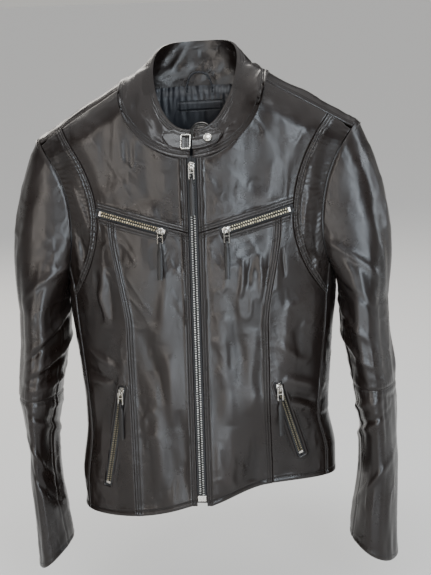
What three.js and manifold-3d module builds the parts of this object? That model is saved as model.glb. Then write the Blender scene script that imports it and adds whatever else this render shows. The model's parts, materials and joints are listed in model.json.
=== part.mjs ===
// Women's leather riding jacket, hung by its shoulders. Millimetres, +Z up, front towards -Y.
// The origin is the point between the shoulders where a hanger carries the jacket.
import * as THREE from 'three';
import { mergeVertices } from 'three/addons/utils/BufferGeometryUtils.js';
import Module from 'manifold-3d';

const wasm = await Module();
wasm.setup();

// ---- driving dimensions ----------------------------------------------------------------------
const neckHalf = 88;             // centre line to the neck point of the shoulder
const neckDropFront = 92;        // neck point down to the front neck seam
const neckDropBack = 20;         // neck point down to the back neck seam
const shoulderHalf = 196;        // centre line to the shoulder tip
const shoulderDrop = 65;         // neck point down to the shoulder tip
const shoulderRoll = 45;         // radius of the roll over the shoulder
const acrossHalf = 153;          // half the chest between the narrowest points of the armholes
const acrossDrop = 185;
const armpitDrop = 250;
const chestHalf = 166;
const waistHalf = 152;
const hemHalf = 160;
const bodyLength = 520;          // neck point down to the hem
const waistAboveHem = 90;
const fullnessAboveHem = 38;     // where the skirt is back to its full width
const frontDepthTop = 64;        // middle plane to the front at the neck
const frontDepthHem = 87;
const backDepthTop = 58;
const backDepthChest = 72;
const backDepthWaist = 64;
const backDepthHem = 74;
const bustRise = 6;
const bustDrop = 255;
const bustOut = 72;
const bustWide = 42;
const bustHigh = 62;
const rightFold = 34;            // how far the right front falls back at the hem
const foldFromOut = 12;
const foldToOut = 80;
const foldAboveHem = 135;
const hemSlant = 20;             // how far the hem rises on the right and drops on the left
const slantSpread = 62;
const slantAboveHem = 180;
const shoulderTilt = 0.03;       // lean of the shoulders as hung

const leather = 2.4;             // leather, with its turned edges
const seamGap = 1.2;             // clearance between neighbouring panels
const liningInset = 9;           // outer surface of the leather to the lining
const liningThick = 1;
const bagInset = 3.9;            // outer surface of the leather to a pocket bag
const bagThick = 2;

const armholeDepthShare = 0.19;  // how far the armhole cuts into the side of the body
const armholeFade = 80;
const armholeHighCurve = 2.4;
const armholeLowCurve = 1.6;
const sleeveLength = 545;        // shoulder tip down to the outer edge of the cuff
const elbowBelowTip = 322;
const elbowGap = 0.8;
const cuffSlant = 15;
const armholeGap = 0.8;
const armClear = 5;              // body to the inner line of the sleeve at the armpit

const collarHeightFront = 30;
const collarTopHalf = 54;
const collarTopBack = 38;        // height of the collar's back edge over the neck point
const collarLean = 18;           // how far the front edge leans back from its seam
const collarThick = 3;

const zipOpening = 12;           // between the two leather edges
const chainWidth = 5.8;
const chainThick = 2.5;
const chainSplit = 1.4;          // slot between the two rows, where the slider's post runs
const tapeThick = 0.8;
const tapeGap = 0.4;
const sliderLength = 10;
const sliderWidth = 8;
const plateThick = 1.2;
const plateGap = 0.4;            // plates of a slider to the teeth
const postWidth = 0.8;
const archLength = 8;
const archWidth = 1.8;
const archWall = 1.1;
const pivotRise = 1.3;           // slider plate to the pivot of the pull
const pullWidth = 7;
const pullLength = 16;
const pullThick = 1.2;
const pullBar = 1.2;
const pullWindowTop = 6;
const thongWidth = 4;
const thongLength = 44;
const thongSkin = 1;
const thongClear = 0.5;
const eyeTaper = 2;              // where the eye of the thong narrows to its tail
const restClear = 2;             // thong to the leather it hangs against
const chestRestClear = 3.2;
const hangSteps = 10;            // places along the zip, and down the thong, that must clear

const princessTopOut = 104;
const princessMidOut = 86;
const princessLowOut = 84;
const sideSeamIn = 11;           // side line of the body to the side seam
const backSeamOut = 96;
const backYokeDrop = 150;
const shoulderSeamDrop = 8;      // shoulder seam, forward of and below the ridge

const chestZipInOut = 40;        // slider of a chest zip from the centre line, closed
const chestZipInDrop = 180;
const chestZipOutOut = 112;
const chestZipOutDrop = 160;
const handZipTopOut = 97;
const handZipTopAboveHem = 142;
const handZipLowOut = 119;
const handZipLowAboveHem = 42;

const strapLength = 44;
const strapClear = 0.8;
const strapThick = 2;
const ringWidth = 13;
const ringHeight = 20;
const ringWire = 2;
const capRadius = 5.2;
const capHeight = 1.6;
const badgeRadius = 15;
const badgeThick = 2;
const badgeDrop = 77;
const loopHalf = 16;
const loopRise = 26;
const loopWire = 3;

const hemZ = -bodyLength;
const roundness = 2.3;           // exponent of the body's cross-sections
const tiny = 1e-6;

// ---- small helpers ---------------------------------------------------------------------------
const clamp = (v, lo, hi) => Math.min(hi, Math.max(lo, v));
const mix = (p, q, t) => p + (q - p) * t;
const ease = (from, to, v) => {
  const t = clamp((v - from) / (to - from), 0, 1);
  return t * t * (3 - 2 * t);
};
const signOf = (v) => (v < 0 ? -1 : 1);
const vec = (x, y, z) => new THREE.Vector3(x, y, z);

// a smooth line through a few stations [position, value], positions falling
function through(stations) {
  return (position) => {
    const p = clamp(position, stations[stations.length - 1][0], stations[0][0]);
    let k = 0;
    while (k < stations.length - 2 && p < stations[k + 1][0]) k += 1;
    const [p0, v0] = stations[k];
    const [p1, v1] = stations[k + 1];
    return mix(v0, v1, ease(p0, p1, p) * 0.5 + clamp((p - p0) / (p1 - p0), 0, 1) * 0.5);
  };
}

// ---- the body's surface ----------------------------------------------------------------------
const shoulderSlope = shoulderDrop / (shoulderHalf - neckHalf);
const neckRise = shoulderSlope * neckHalf / 2;

function ridge(x) {
  const out = Math.abs(x);
  if (out > neckHalf) return -shoulderSlope * (out - neckHalf);
  return neckRise * (1 - (out / neckHalf) ** 2);
}

function armholeOut(z) {
  if (z > -acrossDrop) {
    const t = clamp((z + acrossDrop) / (acrossDrop - shoulderDrop), 0, 1);
    return acrossHalf + (shoulderHalf - acrossHalf) * t ** armholeHighCurve;
  }
  const t = clamp((-acrossDrop - z) / (armpitDrop - acrossDrop), 0, 1);
  return acrossHalf + (chestHalf - acrossHalf) * t ** armholeLowCurve;
}

const sideLine = through([
  [-armpitDrop, chestHalf],
  [hemZ + waistAboveHem, waistHalf],
  [hemZ + fullnessAboveHem, hemHalf],
  [hemZ, hemHalf],
]);

function halfWidth(z) {
  if (z <= -armpitDrop) return sideLine(z);
  const up = clamp((z + armpitDrop) / armholeFade, 0, 1);
  return armholeOut(z) / (1 - armholeDepthShare * Math.sin(up * Math.PI / 2));
}

const backDepth = through([
  [0, backDepthTop],
  [-armpitDrop, backDepthChest],
  [hemZ + waistAboveHem, backDepthWaist],
  [hemZ, backDepthHem],
]);

const frontShare = (z) => (-neckDropFront - z) / (bodyLength - neckDropFront);
const frontDepth = (z) => mix(frontDepthTop, frontDepthHem, frontShare(z));

function foldBack(x, z) {
  return rightFold * ease(foldFromOut, foldToOut, x) * ease(hemZ + foldAboveHem, hemZ, z);
}

function bust(x, z) {
  const across = (Math.abs(x) - bustOut) / bustWide;
  const down = (z + bustDrop) / bustHigh;
  return bustRise * Math.exp(-across * across - down * down);
}

function lean(x, z) {
  const free = Math.max(0, Math.abs(x) - foldFromOut) * signOf(x);
  return hemSlant * Math.tanh(free / slantSpread) * ease(hemZ + slantAboveHem, hemZ, z)
    + shoulderTilt * x * ease(-acrossDrop, -shoulderDrop, z);
}

// a point of the shell: wing +1 right or -1 left, angle 0 at the side and +90 degrees at the
// front centre (negative on the back), height on the outer surface, and depth under it
function shell(wing, angle, z, inset) {
  const half = halfWidth(z);
  const across = Math.max(0, Math.cos(angle)) ** (2 / roundness);
  const deep = Math.abs(Math.sin(angle)) ** (2 / roundness);
  const xOuter = wing * half * across;
  const drop = Math.max(0, ridge(xOuter) - z);
  let rolled = 1;
  let height = z;
  if (drop < shoulderRoll) {
    const c = 1 - drop / shoulderRoll;
    rolled = Math.sqrt(Math.max(0, 1 - c * c));
    height = ridge(xOuter) - inset - (shoulderRoll - inset) * (1 - c);
  }
  const front = angle > 0;
  const depth = front ? frontDepth(z) - foldBack(xOuter, z) : backDepth(z);
  const swell = front ? bust(xOuter, z) * deep : 0;
  const y = (front ? -1 : 1) * ((depth - inset) * deep * rolled + swell);
  return vec(wing * (half - inset) * across, y, height + lean(xOuter, z));
}

// the shell's angle where it is a distance out from the centre line
function angleAt(out, z) {
  return Math.acos(clamp(out / halfWidth(z), 0, 1) ** (roundness / 2));
}

// distance over the shell from the ridge of the shoulder, negative on the front
function overRidge(x, z, face) {
  const drop = Math.max(0, ridge(x) - z);
  const roll = Math.acos(clamp(1 - drop / shoulderRoll, 0, 1)) * shoulderRoll;
  return -face * (drop < shoulderRoll ? roll : shoulderRoll * Math.PI / 2 + drop - shoulderRoll);
}

function heightOver(x, run) {
  const quarter = shoulderRoll * Math.PI / 2;
  const far = Math.abs(run);
  const turned = shoulderRoll * (1 - Math.cos(far / shoulderRoll));
  const drop = far < quarter ? turned : shoulderRoll + far - quarter;
  return ridge(x) - drop;
}

function shellOver(x, run, inset) {
  const z = heightOver(x, run);
  const angle = angleAt(Math.abs(x), z);
  return shell(signOf(x), run < 0 ? Math.max(angle, tiny) : -angle, z, inset);
}

const frontPoint = (x, z, inset) => shell(signOf(x), angleAt(Math.abs(x), z), z, inset);
const backPoint = (x, z, inset) => shell(signOf(x), -angleAt(Math.abs(x), z), z, inset);

// ---- closed solids ---------------------------------------------------------------------------
function signedVolume(points, faces) {
  let sum = 0;
  for (const [a, b, c] of faces) {
    sum += points[a].dot(points[b].clone().cross(points[c]));
  }
  return sum / 6;
}

function solidFrom(points, faces) {
  const outward = signedVolume(points, faces) > 0 ? faces : faces.map(([a, b, c]) => [a, c, b]);
  const geometry = new THREE.BufferGeometry();
  geometry.setAttribute('position', new THREE.Float32BufferAttribute(points.flatMap((p) => p.toArray()), 3));
  geometry.setIndex(outward.flat());
  return geometry;
}

// moves the last point of each line in from its edge
function pullIn(line, distance) {
  const last = line.length - 1;
  const start = line[0].clone();
  const end = line[last].clone();
  line[0].add(line[1].clone().sub(start).setLength(distance));
  line[last].add(line[last - 1].clone().sub(end).setLength(distance));
}

function trimGrid(grid, distance) {
  for (const row of grid) pullIn(row, distance);
  for (let i = 0; i < grid[0].length; i += 1) {
    pullIn(grid.map((row) => row[i]), distance);
  }
}

// a sheet with thickness between two grids of the same size
function sheetSolid(outer, inner, trim) {
  trimGrid(outer, trim);
  trimGrid(inner, trim);
  const rows = outer.length;
  const cols = outer[0].length;
  const points = [...outer.flat(), ...inner.flat()];
  const at = (layer, r, c) => layer * rows * cols + r * cols + c;
  const faces = [];
  const quad = (a, b, c, d) => faces.push([a, b, c], [a, c, d]);
  for (let r = 0; r < rows - 1; r += 1) {
    for (let c = 0; c < cols - 1; c += 1) {
      quad(at(0, r, c), at(0, r, c + 1), at(0, r + 1, c + 1), at(0, r + 1, c));
      quad(at(1, r, c), at(1, r + 1, c), at(1, r + 1, c + 1), at(1, r, c + 1));
    }
  }
  for (let r = 0; r < rows - 1; r += 1) {
    quad(at(0, r, 0), at(0, r + 1, 0), at(1, r + 1, 0), at(1, r, 0));
    quad(at(0, r, cols - 1), at(1, r, cols - 1), at(1, r + 1, cols - 1), at(0, r + 1, cols - 1));
  }
  for (let c = 0; c < cols - 1; c += 1) {
    quad(at(0, 0, c), at(1, 0, c), at(1, 0, c + 1), at(0, 0, c + 1));
    quad(at(0, rows - 1, c), at(0, rows - 1, c + 1), at(1, rows - 1, c + 1), at(1, rows - 1, c));
  }
  return solidFrom(points, faces);
}

// a tube with thickness between two stacks of rings
function tubeSolid(outer, inner) {
  const rings = outer.length;
  const count = outer[0].length;
  const points = [...outer.flat(), ...inner.flat()];
  const at = (layer, r, c) => layer * rings * count + r * count + (c % count);
  const faces = [];
  const quad = (a, b, c, d) => faces.push([a, b, c], [a, c, d]);
  for (let c = 0; c < count; c += 1) {
    for (let r = 0; r < rings - 1; r += 1) {
      quad(at(0, r, c), at(0, r, c + 1), at(0, r + 1, c + 1), at(0, r + 1, c));
      quad(at(1, r, c), at(1, r + 1, c), at(1, r + 1, c + 1), at(1, r, c + 1));
    }
    quad(at(0, 0, c), at(1, 0, c), at(1, 0, c + 1), at(0, 0, c + 1));
    const last = rings - 1;
    quad(at(0, last, c), at(0, last, c + 1), at(1, last, c + 1), at(1, last, c));
  }
  return solidFrom(points, faces);
}

// a four-sided patch between boundary lines, each a function of 0..1 giving [across, height]
function patch({ left, right, low, high, cols, rows, place, from, to, trim = seamGap / 2 }) {
  const build = (inset) => {
    const grid = [];
    for (let r = 0; r <= rows; r += 1) {
      const v = r / rows;
      const row = [];
      for (let c = 0; c <= cols; c += 1) {
        const u = c / cols;
        const spot = [0, 1].map((k) => mix(left(v)[k], right(v)[k], u) + mix(low(u)[k], high(u)[k], v)
          - mix(mix(low(0)[k], low(1)[k], u), mix(high(0)[k], high(1)[k], u), v));
        row.push(place(spot, inset));
      }
      grid.push(row);
    }
    return grid;
  };
  return sheetSolid(build(from), build(to), trim);
}

// ---- manifold joins and cuts -----------------------------------------------------------------
function toManifold(geometry) {
  const bare = geometry.clone();
  for (const name of ['normal', 'uv']) bare.deleteAttribute(name);
  const merged = mergeVertices(bare, 1e-4);
  return new wasm.Manifold(new wasm.Mesh({
    numProp: 3,
    vertProperties: new Float32Array(merged.attributes.position.array),
    triVerts: new Uint32Array(merged.index.array),
  }));
}

function fromManifold(solid) {
  const mesh = solid.getMesh();
  const geometry = new THREE.BufferGeometry();
  geometry.setAttribute('position', new THREE.Float32BufferAttribute(mesh.vertProperties, 3));
  geometry.setIndex([...mesh.triVerts]);
  return geometry;
}

const joined = (...parts) => fromManifold(parts.map(toManifold).reduce((a, b) => a.add(b)));
const cut = (body, tool) => fromManifold(toManifold(body).subtract(toManifold(tool)));

function box(across, along, thick, centre) {
  return new THREE.BoxGeometry(across, along, thick).translate(...centre);
}

// ---- materials and the group -----------------------------------------------------------------
const finish = (color, roughness, metalness) => (
  new THREE.MeshStandardMaterial({ color, roughness, metalness })
);
const blackLeather = finish(0x241f20, 0.42, 0);
const satin = finish(0x14161f, 0.35, 0);
const nickel = finish(0xb9b6ad, 0.28, 1);
const brass = finish(0x8f8566, 0.38, 1);
const blackTape = finish(0x101011, 0.8, 0);
const bronze = finish(0x6b6660, 0.45, 0.6);

const jacket = new THREE.Group();
function add(name, geometry, material, matrix) {
  const mesh = new THREE.Mesh(geometry, material);
  mesh.name = name;
  if (matrix) mesh.applyMatrix4(matrix);
  jacket.add(mesh);
}

const wings = [['left', -1], ['right', 1]];

// ---- seam lines, as [distance out, height] ---------------------------------------------------
const zipEdge = zipOpening / 2;
const seamZ = (x) => ridge(x) - shoulderSeamDrop;
const neckZ = (out) => -neckDropFront * Math.sqrt(Math.max(0, 1 - (out / neckHalf) ** 2));
const panelSeamTopOut = mix(neckHalf, shoulderHalf, 0.69);
const yokeCornerOut = chestZipOutOut + 7;
const chestZipSlope = (chestZipOutDrop - chestZipInDrop) / (chestZipOutOut - chestZipInOut);
const chestZipZ = (out) => -chestZipInDrop - chestZipSlope * (out - chestZipInOut);
const sideSeamOut = (z) => halfWidth(z) - sideSeamIn;
const panelSeamEndDrop = armpitDrop + 16;
const panelSeamHighCurve = 2.1;
const panelSeamLowCurve = 1.9;

// curved seam between the shoulder panel and the front, from the shoulder down to the side seam
const panelSeamMidDrop = mix(-chestZipZ(yokeCornerOut), armpitDrop, 0.14);
function panelSeamOut(z) {
  const low = -panelSeamMidDrop;
  if (z > low) {
    const t = clamp((z - low) / (seamZ(panelSeamTopOut) - low), 0, 1);
    return mix(yokeCornerOut, panelSeamTopOut, t ** panelSeamHighCurve);
  }
  const t = clamp((low - z) / (panelSeamEndDrop - panelSeamMidDrop), 0, 1);
  return mix(yokeCornerOut, sideSeamOut(-panelSeamEndDrop), t ** panelSeamLowCurve);
}

const princessOut = through([
  [-chestZipInDrop, princessTopOut],
  [-bustDrop - 40, princessMidOut],
  [hemZ, princessLowOut],
]);

// where the side seam runs into the armhole
function sideSeamTopZ() {
  let z = -armpitDrop;
  while (armholeOut(z) > chestHalf - sideSeamIn + 4) z += 1;
  return z;
}
const sideSeamTop = sideSeamTopZ();
const sideTopOut = armholeOut(sideSeamTop);
const sideKneeOut = sideSeamOut(-panelSeamEndDrop);
function sideSeam(z) {
  if (z < -panelSeamEndDrop) return sideSeamOut(z);
  return mix(sideKneeOut, sideTopOut, (z + panelSeamEndDrop) / (sideSeamTop + panelSeamEndDrop));
}

// heights up a long edge, with a stop at the end of the curved seam
function edgeHeight(v, knee, top) {
  if (v < knee) return mix(hemZ, -panelSeamEndDrop, v / knee);
  return mix(-panelSeamEndDrop, top, (v - knee) / (1 - knee));
}

const byAngle = (out, z) => [angleAt(out, z), z];
const byBackAngle = (out, z) => [-angleAt(out, z), z];

// ---- front panels ----------------------------------------------------------------------------
function frontPanels(side, wing) {
  const place = ([angle, z], inset) => shell(wing, angle, z, inset);
  const skin = { place, from: 0, to: leather };
  const seamLow = -zipOpening / 2;

  // the neck line and then the shoulder seam, as one line
  const neckEndOut = neckHalf - 0.6;
  const yokeTop = (u) => {
    const share = 0.62;
    if (u < share) {
      const turn = mix(Math.asin(zipEdge / neckHalf), Math.asin(neckEndOut / neckHalf), u / share);
      const out = neckHalf * Math.sin(turn);
      return byAngle(out, Math.min(neckZ(out), seamZ(out)));
    }
    const out = mix(neckEndOut, panelSeamTopOut, (u - share) / (1 - share));
    return byAngle(out, seamZ(out));
  };
  const cornerTopZ = chestZipZ(yokeCornerOut) - seamLow;
  const zipTopZ = neckZ(zipEdge);
  add(`front_yoke_${side}`, patch({
    ...skin,
    left: (v) => byAngle(zipEdge, mix(chestZipZ(zipEdge) - seamLow, zipTopZ, v)),
    right: (v) => {
      const z = mix(cornerTopZ, seamZ(panelSeamTopOut), v);
      return byAngle(panelSeamOut(z), z);
    },
    low: (u) => {
      const out = mix(zipEdge, panelSeamOut(cornerTopZ), u);
      return byAngle(out, mix(chestZipZ(zipEdge) - seamLow, cornerTopZ, u));
    },
    high: yokeTop,
    cols: 12,
    rows: 8,
  }), blackLeather);

  const panelTop = (out) => chestZipZ(out) + seamLow;
  add(`front_panel_${side}`, patch({
    ...skin,
    left: (v) => byAngle(zipEdge, mix(hemZ, panelTop(zipEdge), v)),
    right: (v) => {
      const z = mix(hemZ, panelTop(princessTopOut), v);
      return byAngle(princessOut(z), z);
    },
    low: (u) => byAngle(mix(zipEdge, princessOut(hemZ), u), hemZ),
    high: (u) => {
      const out = mix(zipEdge, princessOut(panelTop(princessTopOut)), u);
      return byAngle(out, mix(panelTop(zipEdge), panelTop(princessTopOut), u));
    },
    cols: 4,
    rows: 12,
  }), blackLeather);

  const topRight = chestZipZ(yokeCornerOut) + seamLow;
  const topLeft = panelTop(princessTopOut);
  const sidePanel = patch({
    ...skin,
    left: (v) => {
      const z = mix(hemZ, topLeft, v);
      return byAngle(princessOut(z), z);
    },
    right: (v) => {
      const z = edgeHeight(v, 0.6, topRight);
      return z < -panelSeamEndDrop ? byAngle(sideSeam(z), z) : byAngle(panelSeamOut(z), z);
    },
    low: (u) => byAngle(mix(princessOut(hemZ), sideSeam(hemZ), u), hemZ),
    high: (u) => byAngle(mix(princessOut(topLeft), panelSeamOut(topRight), u), mix(topLeft, topRight, u)),
    cols: 4,
    rows: 15,
  });
  add(`front_side_${side}`, cut(sidePanel, pocketSlot(wing)), blackLeather);

  add(`shoulder_panel_${side}`, patch({
    ...skin,
    left: (v) => {
      const z = mix(-panelSeamEndDrop, seamZ(panelSeamTopOut), v);
      return byAngle(panelSeamOut(z), z);
    },
    right: (v) => {
      const z = mix(sideSeamTop, seamZ(shoulderHalf), v);
      return byAngle(armholeOut(z), z);
    },
    low: (u) => {
      const z = mix(-panelSeamEndDrop, sideSeamTop, u);
      return byAngle(sideSeam(z), z);
    },
    high: (u) => {
      const out = mix(panelSeamTopOut, armholeOut(seamZ(shoulderHalf)), u);
      return byAngle(out, seamZ(out));
    },
    cols: 4,
    rows: 14,
  }), blackLeather);
}

// ---- back panels -----------------------------------------------------------------------------
const backZ = -backYokeDrop;
const backSkin = { from: 0, to: leather };

// the armhole where it crosses a given run over the shoulder
function rimSpot(wing, run) {
  let out = shoulderHalf;
  for (let k = 0; k < 12; k += 1) out = armholeOut(Math.min(heightOver(out, run), -shoulderDrop));
  return [wing * out, run];
}

// turn round the neck at which the front neck seam meets the shoulder seam
const neckCornerRoot = Math.sqrt(neckDropFront ** 2 + 4 * neckRise * shoulderSeamDrop);
const neckCornerCos = (neckCornerRoot - neckDropFront) / (2 * neckRise);
const neckCornerTurn = Math.acos(neckCornerCos);
const seamTipOut = rimSpot(1, overRidge(shoulderHalf, seamZ(shoulderHalf), 1))[0];

// along one shoulder seam, round the back of the neck and along the other
function yokeTopSpot(u) {
  const wing = signOf(u - 0.5);
  const t = Math.abs(u - 0.5) * 2;
  const neckShare = 0.6;
  if (t > neckShare) {
    const out = mix(neckHalf * Math.sin(neckCornerTurn), seamTipOut, (t - neckShare) / (1 - neckShare));
    return [wing * out, overRidge(out, seamZ(out), 1)];
  }
  const turn = mix(Math.PI, neckCornerTurn, t / neckShare);
  const x = wing * neckHalf * Math.sin(turn);
  const front = turn < Math.PI / 2;
  const z = (front ? neckDropFront : neckDropBack) * -Math.abs(Math.cos(turn));
  return [x, overRidge(x, z, front ? 1 : -1)];
}

const yokeTopRun = overRidge(shoulderHalf, seamZ(shoulderHalf), 1);
const yokeLowRun = overRidge(armholeOut(backZ), backZ, -1);
const yokeShape = {
  left: (v) => rimSpot(-1, mix(yokeLowRun, yokeTopRun, v)),
  right: (v) => rimSpot(1, mix(yokeLowRun, yokeTopRun, v)),
  low: (u) => {
    const x = mix(-1, 1, u) * armholeOut(backZ);
    return [x, overRidge(x, backZ, -1)];
  },
  high: yokeTopSpot,
  place: ([x, run], inset) => shellOver(x, run, inset),
};
add('back_yoke', patch({ ...yokeShape, ...backSkin, cols: 20, rows: 9 }), blackLeather);

const backSpot = ([x, z], inset) => backPoint(x, z, inset);
const acrossBack = (z, u) => [mix(-backSeamOut, backSeamOut, u), z];
const backCentre = {
  left: (v) => acrossBack(mix(hemZ, backZ, v), 0),
  right: (v) => acrossBack(mix(hemZ, backZ, v), 1),
  low: (u) => acrossBack(hemZ, u),
  high: (u) => acrossBack(backZ, u),
  place: backSpot,
};
add('back_panel', patch({ ...backCentre, ...backSkin, cols: 6, rows: 9 }), blackLeather);

// the underarm and side of the back, from the side seam round to the back seam
function backSide(wing, from, to, cols, rows) {
  const rimDrop = sideSeamTop + armpitDrop;
  const rim = (u) => {
    const share = 0.62;
    if (u > share) {
      const t = (u - share) / (1 - share);
      return byBackAngle(mix(armholeOut(backZ), backSeamOut, t), backZ);
    }
    const t = u / share;
    const turn = 0.28;
    if (t < turn) {
      const z = -armpitDrop + rimDrop * (1 - t / turn) ** 2;
      return byAngle(armholeOut(z), z);
    }
    const z = -armpitDrop + (armpitDrop - backYokeDrop) * ((t - turn) / (1 - turn)) ** 1.7;
    return byBackAngle(armholeOut(z), z);
  };
  return patch({
    left: (v) => {
      const z = edgeHeight(v, 0.75, sideSeamTop);
      return byAngle(sideSeam(z), z);
    },
    right: (v) => byBackAngle(backSeamOut, mix(hemZ, backZ, v)),
    low: (u) => [mix(angleAt(sideSeam(hemZ), hemZ), -angleAt(backSeamOut, hemZ), u), hemZ],
    high: rim,
    place: ([angle, z], inset) => shell(wing, angle, z, inset),
    from,
    to,
    cols,
    rows,
  });
}

// ---- zips ------------------------------------------------------------------------------------
// each zip has an origin at its slider when closed, and runs along its own straight line
function zipFrame(start, end) {
  const along = end.clone().sub(start);
  const length = along.length();
  along.normalize();
  return { start, along, length };
}

const frontZipTop = neckZ(zipEdge) - 12;
const frontZipEnd = hemZ + 12;
const frontLine = (z) => vec(0, frontPoint(0, z, 0).y, z);
const chestSpot = (wing, out, drop) => frontPoint(wing * out, -drop, 0);
const handSpot = (wing, out, above) => frontPoint(wing * out, hemZ + above, 0);

const zips = [{
  name: 'front_zip',
  wing: 0,
  clear: restClear,
  ...zipFrame(frontLine(frontZipTop), frontLine(frontZipEnd)),
}];
for (const [side, wing] of wings) {
  zips.push({
    name: `chest_zip_${side}`,
    wing,
    clear: chestRestClear,
    ...zipFrame(
      chestSpot(wing, chestZipInOut, chestZipInDrop),
      chestSpot(wing, chestZipOutOut, chestZipOutDrop),
    ),
  });
  zips.push({
    name: `hand_zip_${side}`,
    wing,
    clear: restClear,
    ...zipFrame(
      handSpot(wing, handZipTopOut, handZipTopAboveHem),
      handSpot(wing, handZipLowOut, handZipLowAboveHem),
    ),
  });
}

function outwardAt(point) {
  if (Math.abs(point.x) < 1) return vec(0, -1, 0);
  const step = 2;
  const spot = (dx) => frontPoint(point.x + dx, point.z, 0);
  const across = spot(step).sub(spot(-step));
  return vec(across.y, -across.x, 0).normalize();
}

// basis with local X across the zip, Y along it and Z out of the jacket
function zipBasis(zip) {
  const middle = zip.start.clone().addScaledVector(zip.along, zip.length / 2);
  const out = outwardAt(middle);
  out.addScaledVector(zip.along, -out.dot(zip.along)).normalize();
  const across = zip.along.clone().cross(out).normalize();
  return new THREE.Matrix4().makeBasis(across, zip.along, out).setPosition(zip.start);
}

const slotSides = 0.5;
function pocketSlot(wing) {
  const zip = zips.find((one) => one.name.startsWith('hand') && one.wing === wing);
  const tail = 9;
  const slot = box(zipOpening + slotSides, zip.length + 2 * tail, 40, [0, zip.length / 2, 0]);
  return slot.applyMatrix4(zipBasis(zip));
}

const rowTop = chainThick / 2 - 0.6;
const rowLow = rowTop - chainThick;
const rowMiddle = (rowTop + rowLow) / 2;
const plateTop = rowTop + plateGap + plateThick;
const backPlateTop = rowLow - plateGap;
const endGap = 0.4;

// the two plates of the slider, the post between them and the bridge that holds the pull
function sliderShape(zip) {
  const plate = (thick, low) => box(sliderWidth, sliderLength, thick, [0, 0, low + thick / 2]);
  const postHeight = plateTop - backPlateTop + plateThick;
  const postMiddle = (plateTop + backPlateTop - plateThick) / 2;
  const post = box(postWidth, sliderLength - 2, postHeight - 0.4, [0, 0, postMiddle]);
  const topPlate = plate(plateThick, plateTop - plateThick);
  const body = joined(topPlate, plate(plateThick, backPlateTop - plateThick), post);
  body.applyMatrix4(zipBasis(zip));
  const hollow = 2 * pivotRise;
  const rise = hollow + archWall + plateThick / 2;
  const half = archLength / 2;
  const outline = new THREE.Shape();
  outline.moveTo(-half, 0);
  outline.lineTo(half, 0);
  outline.lineTo(half, rise - archWall);
  outline.lineTo(half - archWall, rise);
  outline.lineTo(-half + archWall, rise);
  outline.lineTo(-half, rise - archWall);
  outline.closePath();
  const window = new THREE.Path();
  const inner = half - archWall - 0.2;
  window.moveTo(-inner, plateThick / 2);
  window.lineTo(-inner, plateThick / 2 + hollow);
  window.lineTo(inner, plateThick / 2 + hollow);
  window.lineTo(inner, plateThick / 2);
  window.closePath();
  outline.holes.push(window);
  const arch = new THREE.ExtrudeGeometry(outline, { depth: archWidth, bevelEnabled: false });
  arch.translate(0, 0, -archWidth / 2);
  const { across, out } = uprightAxes(zip);
  const base = plateTop - plateThick / 2;
  arch.applyMatrix4(new THREE.Matrix4().makeBasis(vec(0, 0, 1), out, across.clone().negate()).setPosition(
    zip.start.clone().addScaledVector(out, base),
  ));
  return joined(body, arch);
}

function uprightAxes(zip) {
  const out = outwardAt(zip.start);
  const across = vec(0, 0, 1).cross(out).normalize().negate();
  return { out, across };
}

function pivotOf(zip) {
  const { out } = uprightAxes(zip);
  return zip.start.clone().addScaledVector(out, plateTop + pivotRise);
}

const thongStart = pullLength - pullBar;
const hangLength = thongStart + thongLength;

// the angle at which a pull and its thong clear the front, wherever the slider stands
function hangAngle(zip) {
  const { out } = uprightAxes(zip);
  let need = 0;
  for (let step = 0; step <= hangSteps; step += 1) {
    const slid = (step / hangSteps) * zip.length;
    const pivot = pivotOf(zip).addScaledVector(zip.along, slid);
    for (let part = 2; part <= hangSteps; part += 1) {
      const reach = (part / hangSteps) * hangLength;
      const skin = frontPoint(pivot.x || tiny, pivot.z - reach, 0);
      const stand = skin.sub(pivot).dot(out) + zip.clear;
      need = Math.max(need, Math.atan2(stand, reach));
    }
  }
  return need;
}

// local X along the hinge, Y down the pull, Z out of the jacket
function pullBasis(zip, slide) {
  const { across, out } = uprightAxes(zip);
  const angle = hangAngle(zip);
  const down = vec(0, 0, -Math.cos(angle)).addScaledVector(out, Math.sin(angle));
  const outward = across.clone().cross(down).normalize();
  if (outward.dot(out) < 0) outward.negate();
  const x = down.clone().cross(outward);
  const place = pivotOf(zip).addScaledVector(down, slide);
  return new THREE.Matrix4().makeBasis(x, down, outward).setPosition(place);
}

function rectangle(target, x0, x1, y0, y1) {
  target.moveTo(x0, y0);
  target.lineTo(x1, y0);
  target.lineTo(x1, y1);
  target.lineTo(x0, y1);
  target.closePath();
  return target;
}

function pullShape() {
  const half = pullWidth / 2;
  const inner = half - pullBar;
  const top = -pullBar / 2;
  const split = top + pullBar + pullWindowTop;
  const outline = rectangle(new THREE.Shape(), -half, half, top, top + pullLength);
  outline.holes.push(rectangle(new THREE.Path(), -inner, inner, top + pullBar, split));
  outline.holes.push(rectangle(new THREE.Path(), -inner, inner, split + pullBar, top + pullLength - pullBar));
  const plate = new THREE.ExtrudeGeometry(outline, { depth: pullThick, bevelEnabled: false });
  return plate.translate(0, 0, -pullThick / 2);
}

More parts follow.
